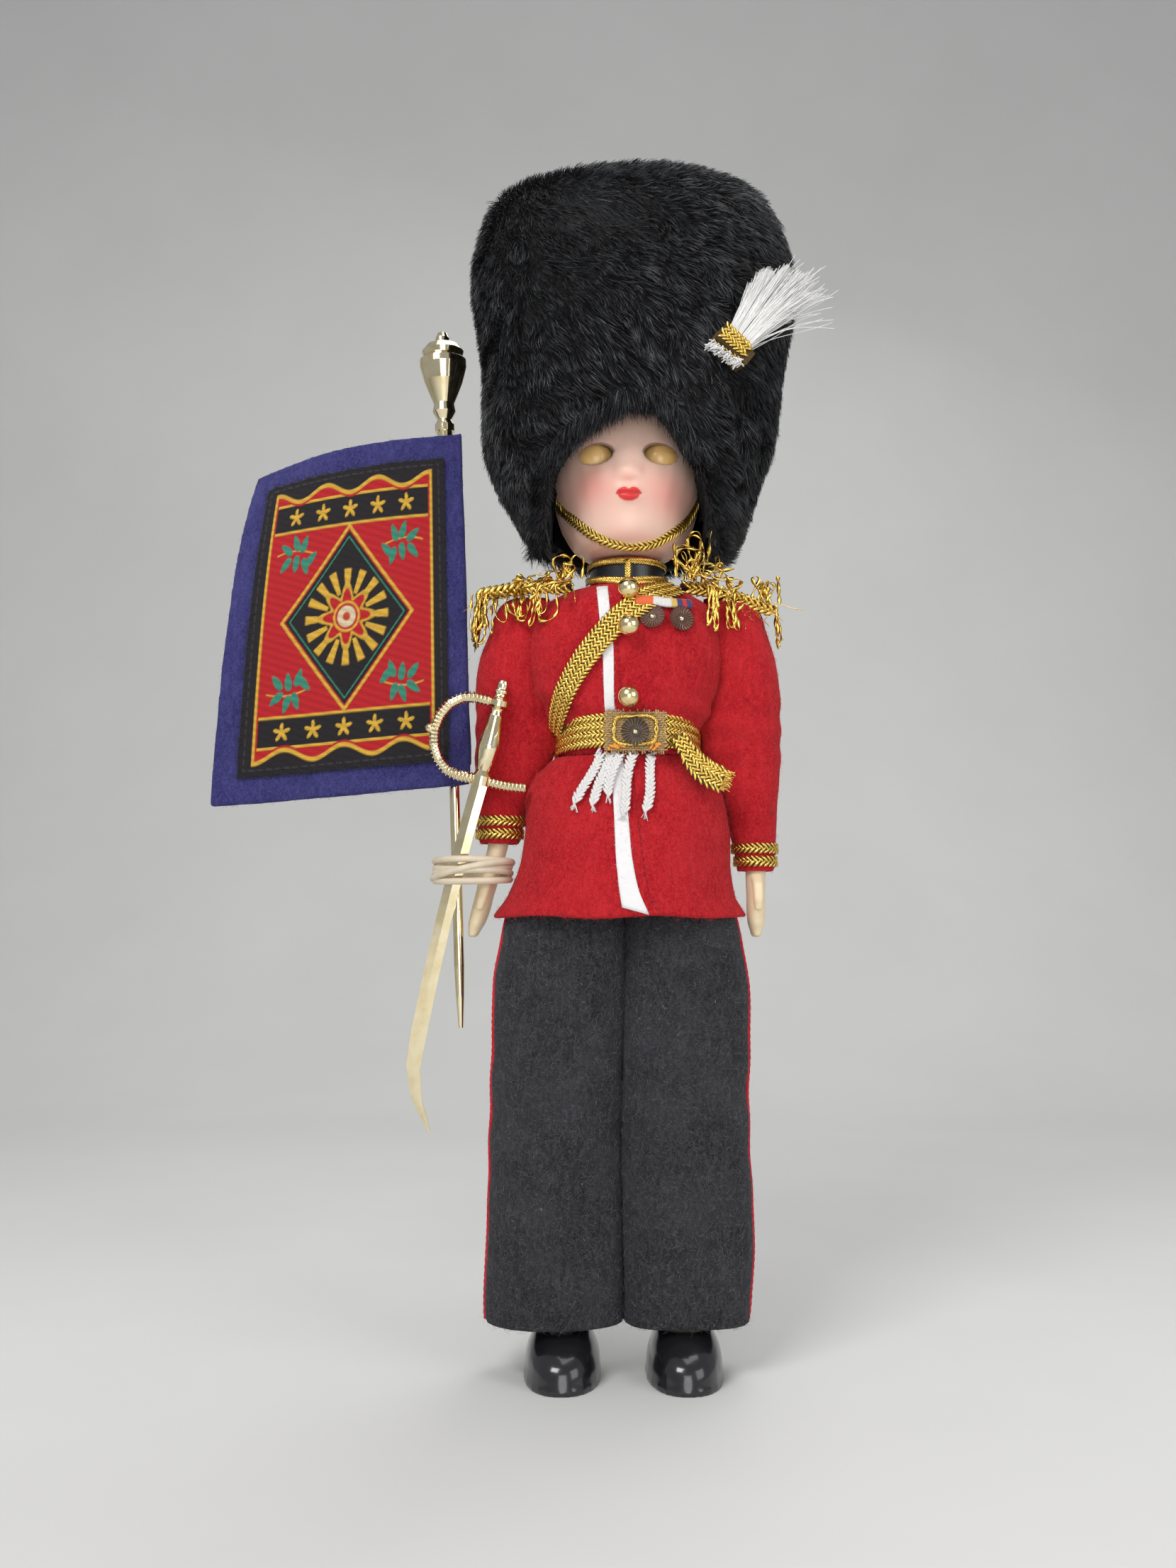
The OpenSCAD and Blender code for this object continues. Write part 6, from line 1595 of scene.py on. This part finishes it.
def make_sword_ribs():
    """Wound wire, knob, grip and pommel."""
    bow = np.radians(np.linspace(90, -90, 61))
    bow = np.stack([-BOW_OUT * (0.42 + 0.58 * np.cos(bow)), 0 * bow, 6.52 + 7.42 * np.sin(bow)], 1)
    quillon = [[0, 0, -0.9], [4.77, 0, -0.9], [8.2, 0, -0.48]]
    path = resample(np.concatenate([[[-1.2, 0, 13.94]], bow, quillon]), 52)
    a = np.linspace(0, TAU, 17)
    e1 = np.array([0, 1.0, 0])
    s = Shape()
    for c, d in zip(path[1:], unit(np.gradient(path, axis=0))[1:]):
        ring = np.outer(np.cos(a), e1) * 0.93 + np.outer(np.sin(a), np.cross(d, e1)) * 0.93
        s.add(*rods(on_sword(c + ring), 0.2, 6, (0.3, 0.5, 0.8)))
    ang = TAU * np.arange(16) / 16
    ball = np.concatenate([np.stack([np.full(16, -11.4 - h), r * np.cos(ang), 6.5 + r * np.sin(ang)], 1)
                           for r, h in KNOB])
    s.add(on_sword(ball), grid_faces(7, 16))
    for profile in (GRIP, POMMEL):
        rings = resample([[0, r, h] for h, r in profile], 40)
        turned = np.concatenate([np.stack([r * np.cos(ang), 0.8 * r * np.sin(ang), np.full(16, h)], 1)
                                 for _, r, h in rings])
        s.add(on_sword(turned), grid_faces(40, 16))
    build("sword_ribs", s, PLATE, "right_arm_body")


# Solids that stay as they are
PLAIN = (
    (SKIN, ("torso_front", "torso_back", "left_leg", "right_leg")),
    (FACE_BACK, ("head_back",)),
    (ELASTIC, ("arm_cord", "leg_cord")),
    (WADDING, ("hat_wadding",)),
    (WEIGHT, ("eye_rocker",)),
    (PLATE, ("sword", "flagpole")),
)


# Arms with hands a little wider and grooved between the fingers, and shoes without facets
def hand_move(p, n):
    w = ease((88 - p[:, 2]) / 5)
    mid_h = p[w > 0.9].mean(0) if (w > 0.9).any() else p.mean(0)
    q = p.copy()
    q[:, 0] += (p[:, 0] - mid_h[0]) * 0.16 * w
    grooves = 0.10 * np.sin((p[:, 1] - mid_h[1]) * 4.2) * ease((82 - p[:, 2]) / 2)
    return q + n * (grooves * w)[:, None]


def make_arm_and_shoe(word):
    """Finer meshes of an arm and a shoe."""
    o = soft_copy(f"{word}_arm", f"{word}_arm_skin", 0.22, 14, hand_move)
    place(o, SKIN, f"{word}_arm_body", [f"{word}_arm"])
    o = soft_copy(f"{word}_shoe", f"{word}_shoe_gloss", 0.3, 3)
    even(o, 60, lambda p: ease((p[:, 2] - 0.7) / 0.8))
    place(o, SHOE, f"{word}_leg_body", [f"{word}_shoe"])


# Trousers: each leg goes up inside the tunic and bends at the hip; piping of two twisted plies at its side
HIP_TOP, HIP_FOOT, TROUSER_BEND, TROUSER_TOP = (0, 0, 96.5), (0, 0, 84.5), 79, 97


def trouser_move(side, mid_x):
    def move(p, n):
        q = p.copy()
        q[:, 2] = p[:, 2] + np.maximum(0, p[:, 2] - TROUSER_BEND) * (TROUSER_TOP - 83.3) / 4.3
        tight = (0.055 if side == LEFT else 0.02) * ease((q[:, 2] - 70) / 12)
        tight = tight + 0.03 * ease((q[:, 2] - 81) / 3) + 0.17 * ease((q[:, 2] - 84) / 10)
        inner = mid_x - side * 11.7
        q[:, 0] = inner + (p[:, 0] - inner) * (1 - tight)
        q[:, 1] = p[:, 1] * (1 - 0.12 * ease((q[:, 2] - 82) / 8))
        outer = np.clip(side * (p[:, 0] - mid_x) / 10, -1, 1)
        q[:, 0] -= side * (0.34 + 0.5 * np.exp(-((q[:, 2] - 66) / 13) ** 2)) * ease(-outer * 1.6)
        flare = -1.2 * ease((24 - q[:, 2]) / 16) if side == LEFT else 0.9 * ease((80 - q[:, 2]) / 8)
        q[:, 0] += side * ease(outer * 1.4) * flare
        knee = np.sin(q[:, 2] * 0.55 + q[:, 0] * 0.35) * np.exp(-((q[:, 2] - 48) / 16) ** 2)
        folds = 0.30 * noise(q * (1, 1, 0.45), 10, 90 + side) + 0.22 * knee
        return q + n * (folds * ease((q[:, 2] - 9) / 5))[:, None]
    return move


def make_trouser(side, word):
    """One leg of the trousers, its fibres, and its piping of two twisted plies."""
    foot, top = box_mm(f"{word}_trouser")
    mid = ((foot + top) / 2)[0]
    hip = ("torso", f"{word}_leg_body", HIP_TOP, HIP_FOOT)
    o = soft_copy(f"{word}_trouser", f"{word}_trouser_cloth", CLOTH_MESH, 5, trouser_move(side, mid))
    leg = tree(o)
    place(o, DARK, hip, [f"{word}_trouser", "trousers_seat"])
    fuzz(o, f"{word}_trouser_fibres", 17000, DARK_HAIR, hip, 1.2, 0.045, 0.45, 91 + side,
         lambda p, n: (p[:, 2] < 90) * 1.0)
    z = np.linspace(9.7, 88, 60)
    p, n = seated(leg, np.stack([np.full(60, mid), 0 * z, z], 1), (-side, 0, 0), 0.05, 8)
    p[:, 1] = 0.35 * np.sin(z * 0.08)
    s = Shape()
    for ply in range(2):
        ph = z * 2.3 + ply * math.pi
        q = p + np.stack([0.10 * np.cos(ph), 0.12 * np.sin(ph), 0 * ph], 1)
        s.add(*rods(resample(q, 240), 0.36, 8, (side, 0, 0)))
    build(f"{word}_piping_cord", s, PIPING, hip, [f"{word}_piping"])


# Rubber band: five turns, each with its height, lean, phase and how far it stands out
TURNS = ((-1.7, 0.3, 0.4, 0), (-0.45, 0.55, 2.9, 0.12), (0.75, 0.5, 0.2, 0.0), (1.8, 0.35, 3.4, 0.1),
         (0.1, 1.7, 1.9, 0.42))


def make_rubber_band():
    """Flat strands round the hand, sword and pole."""
    foot, top = box_mm("rubber_band")
    middle, half = (foot + top) / 2, (top - foot) / 2
    a = np.linspace(0, TAU, 91)
    way = np.stack([np.cos(a), np.sin(a), 0 * a], 1)
    s = Shape()
    for high, lean, ph, grow in TURNS:
        q = middle + way * (half - 0.55 + grow) + np.outer(high + lean * np.sin(a + ph), [0, 0, 1])
        s.add(*strip(q, way, 1.25, 0.42, 0.32, 9))
    build("rubber_band_strands", s, RUBBER, "right_arm_body", ["rubber_band"])


# Flag: size, thickness, slant of its side at the pole, curl of its far corner, tilt and wave
FLAG_W, FLAG_H, FLAG_T, LAP, CURL, TILT, FOLD = 50.0, 69.0, 1.5, 2.3, 8.0, math.radians(5), 0.5
FLAG_AT = np.array([-32.64 + LAP * 0.62, 0.7, 108.79])
BADGE_EDGE, BADGE_LIFT, BADGE_GRID = 5.0, 0.6, (230, 320)


def flag_point(u, v, off):
    x = mix(-FLAG_W * (1 - 0.12 * v), 0, u) + LAP * (0.6 - v)
    far = np.clip((1 - u) * 1.25 - 0.25, 0, 1)
    curl = far * far * v**3 * CURL
    wave = FOLD * np.sin(TAU * u) * 1.5
    return FLAG_AT + np.stack([x * math.cos(TILT) + curl * 0.3, off + curl + wave * (1 - v),
                               FLAG_H * v + x * math.sin(TILT) - curl * 0.35], -1)


def make_flag():
    """The felt and its sleeve round the pole."""
    flag = soft_copy("flag_felt", "flag_cloth", CLOTH_MESH, 4, creases(12, 0.12, 96))
    place(flag, BLUE, "right_arm_body", ["flag_felt"])
    fuzz(flag, "flag_fibres", 9000, BLUE_HAIR, "right_arm_body", 0.9, 0.04, 0.5, 97)
    hem = soft_copy("flag_sleeve", "flag_sleeve_cloth", 0.3, 3, creases(8, 0.08, 98))
    place(hem, BLUE, "right_arm_body", ["flag_sleeve"])
    return flag


# Leaves of a sprig: x, y, angle
LEAVES = ((0.0, 0.03, 2.3), (0.08, 0.17, 1.9), (0.17, 0.19, 1.25), (0.27, 0.14, 0.7), (0.06, -0.03, -1.9),
          (0.16, 0.0, -1.45), (0.27, 0.0, -0.9))


def patch_art(s, t, aspect):
    """Colour and height of a woven patch.

    A black cloth edge, gold lines, a red field, a dark lozenge with a rosette, and leaf sprigs.
    """
    red, dark = np.array([0.50, 0.010, 0.016]), np.array([0.010, 0.010, 0.012])
    gold, teal = np.array([0.72, 0.42, 0.045]), np.array([0.035, 0.26, 0.17])
    cream, rust = np.array([0.72, 0.60, 0.38]), np.array([0.55, 0.05, 0.02])
    x, y = (s - 0.5) * 2, (t - 0.5) * 2 * aspect
    c = np.tile(dark, (*s.shape, 1))
    h = np.zeros(s.shape)

    def put(mask, colour, height=0.10):
        w = np.clip(mask, 0, 1)[..., None]
        nonlocal c, h
        c = c * (1 - w) + colour * w
        h = h * (1 - w[..., 0]) + height * w[..., 0]

    def line(d, w, soft=0.012):
        return ease((w - np.abs(d)) / soft)

    # Dark rows of stitching near the cloth's edge
    inset = np.minimum(np.minimum(s, 1 - s), np.minimum(t, 1 - t) * aspect) * 2
    dash = (np.abs((x + y) * 12 % 1.0 - 0.5) < 0.36) * 1.0
    put(line(inset - 0.055, 0.012, 0.008) * dash, np.array([0.035, 0.035, 0.04]), 0.12)
    # Red field with a scalloped gold outline
    edge = np.maximum(np.abs(x) / 0.86, (np.abs(y) + 0.05 * np.cos(x * 11)) / (aspect - 0.16))
    put(ease((1.0 - edge) / 0.006), red, 0.05)
    put(line(edge - 1.0, 0.022, 0.01), gold, 0.16)
    # Two dark bars with a row of small gold stars
    for sign in (-1, 1):
        bar = np.abs(y * sign - (aspect - 0.36))
        inside = ease((0.97 - edge) / 0.01)
        put(inside * ease((0.13 - bar) / 0.01), dark, 0.03)
        put(inside * line(bar - 0.13, 0.016, 0.008), gold, 0.16)
        for cx in (-0.6, -0.3, 0.0, 0.3, 0.6):
            dx, dy = x - cx, y - sign * (aspect - 0.36)
            r, a_ = np.hypot(dx, dy), np.arctan2(dy, dx)
            put(ease((0.062 + 0.028 * np.cos(5 * a_ - math.pi / 2) - r) / 0.012), gold, 0.18)
    # Dark lozenge in a gold and green outline
    big = np.abs(x) / 0.66 + np.abs(y) / 0.80
    put(line(big - 1.0, 0.035, 0.012), gold, 0.16)
    put(ease((0.955 - big) / 0.015), dark, 0.03)
    put(line(big - 0.88, 0.018, 0.012), teal, 0.14)
    # Rosette of petals with rays behind
    r, a_ = np.hypot(x, y), np.arctan2(y, x)
    put(ease((0.43 - r) / 0.02) * ease((np.cos(16 * a_) + 0.1) / 0.4) * ease((r - 0.2) / 0.02), gold, 0.16)
    put(ease((0.25 + 0.06 * np.cos(8 * a_) - r) / 0.02), gold * 0.9, 0.18)
    put(ease((0.20 + 0.05 * np.cos(8 * a_) - r) / 0.015), red, 0.16)
    put(line(r - 0.125, 0.016, 0.01), gold, 0.2)
    put(ease((0.10 - r) / 0.015), cream, 0.2)
    put(ease((0.045 - r) / 0.015), rust, 0.22)
    # Sprigs of leaves in the four corners of the field
    for sx in (-1, 1):
        for sy in (-1, 1):
            qx, qy = x * sx - 0.40, y * sy - 0.52
            stem = qy - 0.02 + 0.9 * (qx - 0.2) ** 2 - 0.1
            put(line(stem, 0.012, 0.01) * ease((0.22 - np.abs(qx - 0.16)) / 0.02), gold, 0.14)
            for lx, ly, ang in LEAVES:
                ux, uy = math.cos(ang), math.sin(ang)
                al, ac = (qx - lx) * ux + (qy - ly) * uy, -(qx - lx) * uy + (qy - ly) * ux
                put(ease((1 - (al / 0.085) ** 2 - (ac / (0.036 - 0.15 * al)) ** 2) / 0.3), teal, 0.17)
    # Slanting rows of satin stitch, painted darker in the grooves between them as shade
    rows_ = 0.5 + 0.5 * np.sin((x * 0.35 + y) * 95)
    c = c * (0.78 + 0.22 * rows_[..., None])
    return c, h + 0.03 * rows_


def make_badge():
    """The woven patch; gives the points of its rim."""
    nu, nv = BADGE_GRID
    s, t = np.meshgrid(np.linspace(0, 1, nu), np.linspace(0, 1, nv))
    bu, bv = BADGE_EDGE / FLAG_W, BADGE_EDGE / FLAG_H
    u, v = mix(bu, 1 - 0.8 * bu, s), mix(bv, 1 - bv, t)
    art, relief = patch_art(s, t, FLAG_H / FLAG_W * 0.95)
    weave = 0.02 * np.where((np.add.outer(np.arange(nv), np.arange(nu)) % 2) == 0, 1, -1)
    front = flag_point(u, v, -FLAG_T - BADGE_LIFT) + np.stack([0 * s, -(relief * 1.2 + weave), 0 * s], -1)
    back = flag_point(u, v, -FLAG_T - 0.02)
    # The front's rim, once round, and a wall from it to the back
    rim = np.concatenate([np.arange(nu), np.arange(2 * nu - 1, nv * nu, nu),
                          np.arange(nv * nu - 2, (nv - 1) * nu - 1, -1), np.arange((nv - 2) * nu, 0, -nu)])
    pts, colours = front.reshape(-1, 3), art.reshape(-1, 3)
    i, m = np.arange(len(rim)), len(rim)
    walls = np.stack([rim, nv * nu + i, nv * nu + (i + 1) % m, np.roll(rim, -1)], -1)
    s = Shape().add(np.concatenate([pts, back.reshape(-1, 3)[rim]]),
                    np.concatenate([grid_faces(nv, nu, False), walls]),
                    np.concatenate([colours, colours[rim] * 0.6]))
    build("flag_badge", s, patch_look(), "right_arm_body", ["flag_patch"])
    return pts[rim]


def make_badge_fray(rim):
    """Loose threads at the patch's edge."""
    g = np.random.default_rng(99)
    u = np.linspace(0, 1, 5)[:, None]
    frays = []
    for _ in range(500):
        root = rim[g.integers(0, len(rim))]
        ang = g.uniform(0, TAU)
        way = np.array([math.cos(ang), -0.35 + g.normal(0, 0.25), math.sin(ang)]) * g.uniform(0.4, 1.2)
        frays.append(root + way * u + g.normal(0, 0.2, 3) * u**2)
    fray_look = simple("patch_fray", (0.03, 0.03, 0.035), 0.8)
    build("flag_badge_fray", Shape().add(*rods(np.array(frays), 0.04, 4)), fray_look, "right_arm_body")


# Everything on the coat, the head, the arms and the legs, in order
make_front_strip()
make_stitches()
make_sash()
make_belt()
make_belt_tail()
make_collar()
make_ribbon_bar()
make_chest_sequins()
make_buttons()
make_buckle_cloth()
make_buckle_ring()
make_buckle_scraps()
make_tassels()
for side, word in SIDES:
    make_board(side, word)
    make_tinsel(side, word)
    make_cuff(side, word)
make_neck_felt()
make_hat_fur()
make_hat_backing()
make_face_fur()
make_plume_band(make_plume())
face = make_face()
make_chin_strap(face)
for side, word in SIDES:
    dress(f"{word}_eye", eye_look(side, word))
make_sword_ribs()
for look, names in PLAIN:
    for name in names:
        dress(name, look)
for side, word in SIDES:
    make_arm_and_shoe(word)
for side, word in SIDES:
    make_trouser(side, word)
make_rubber_band()
flag = make_flag()
make_badge_fray(make_badge())
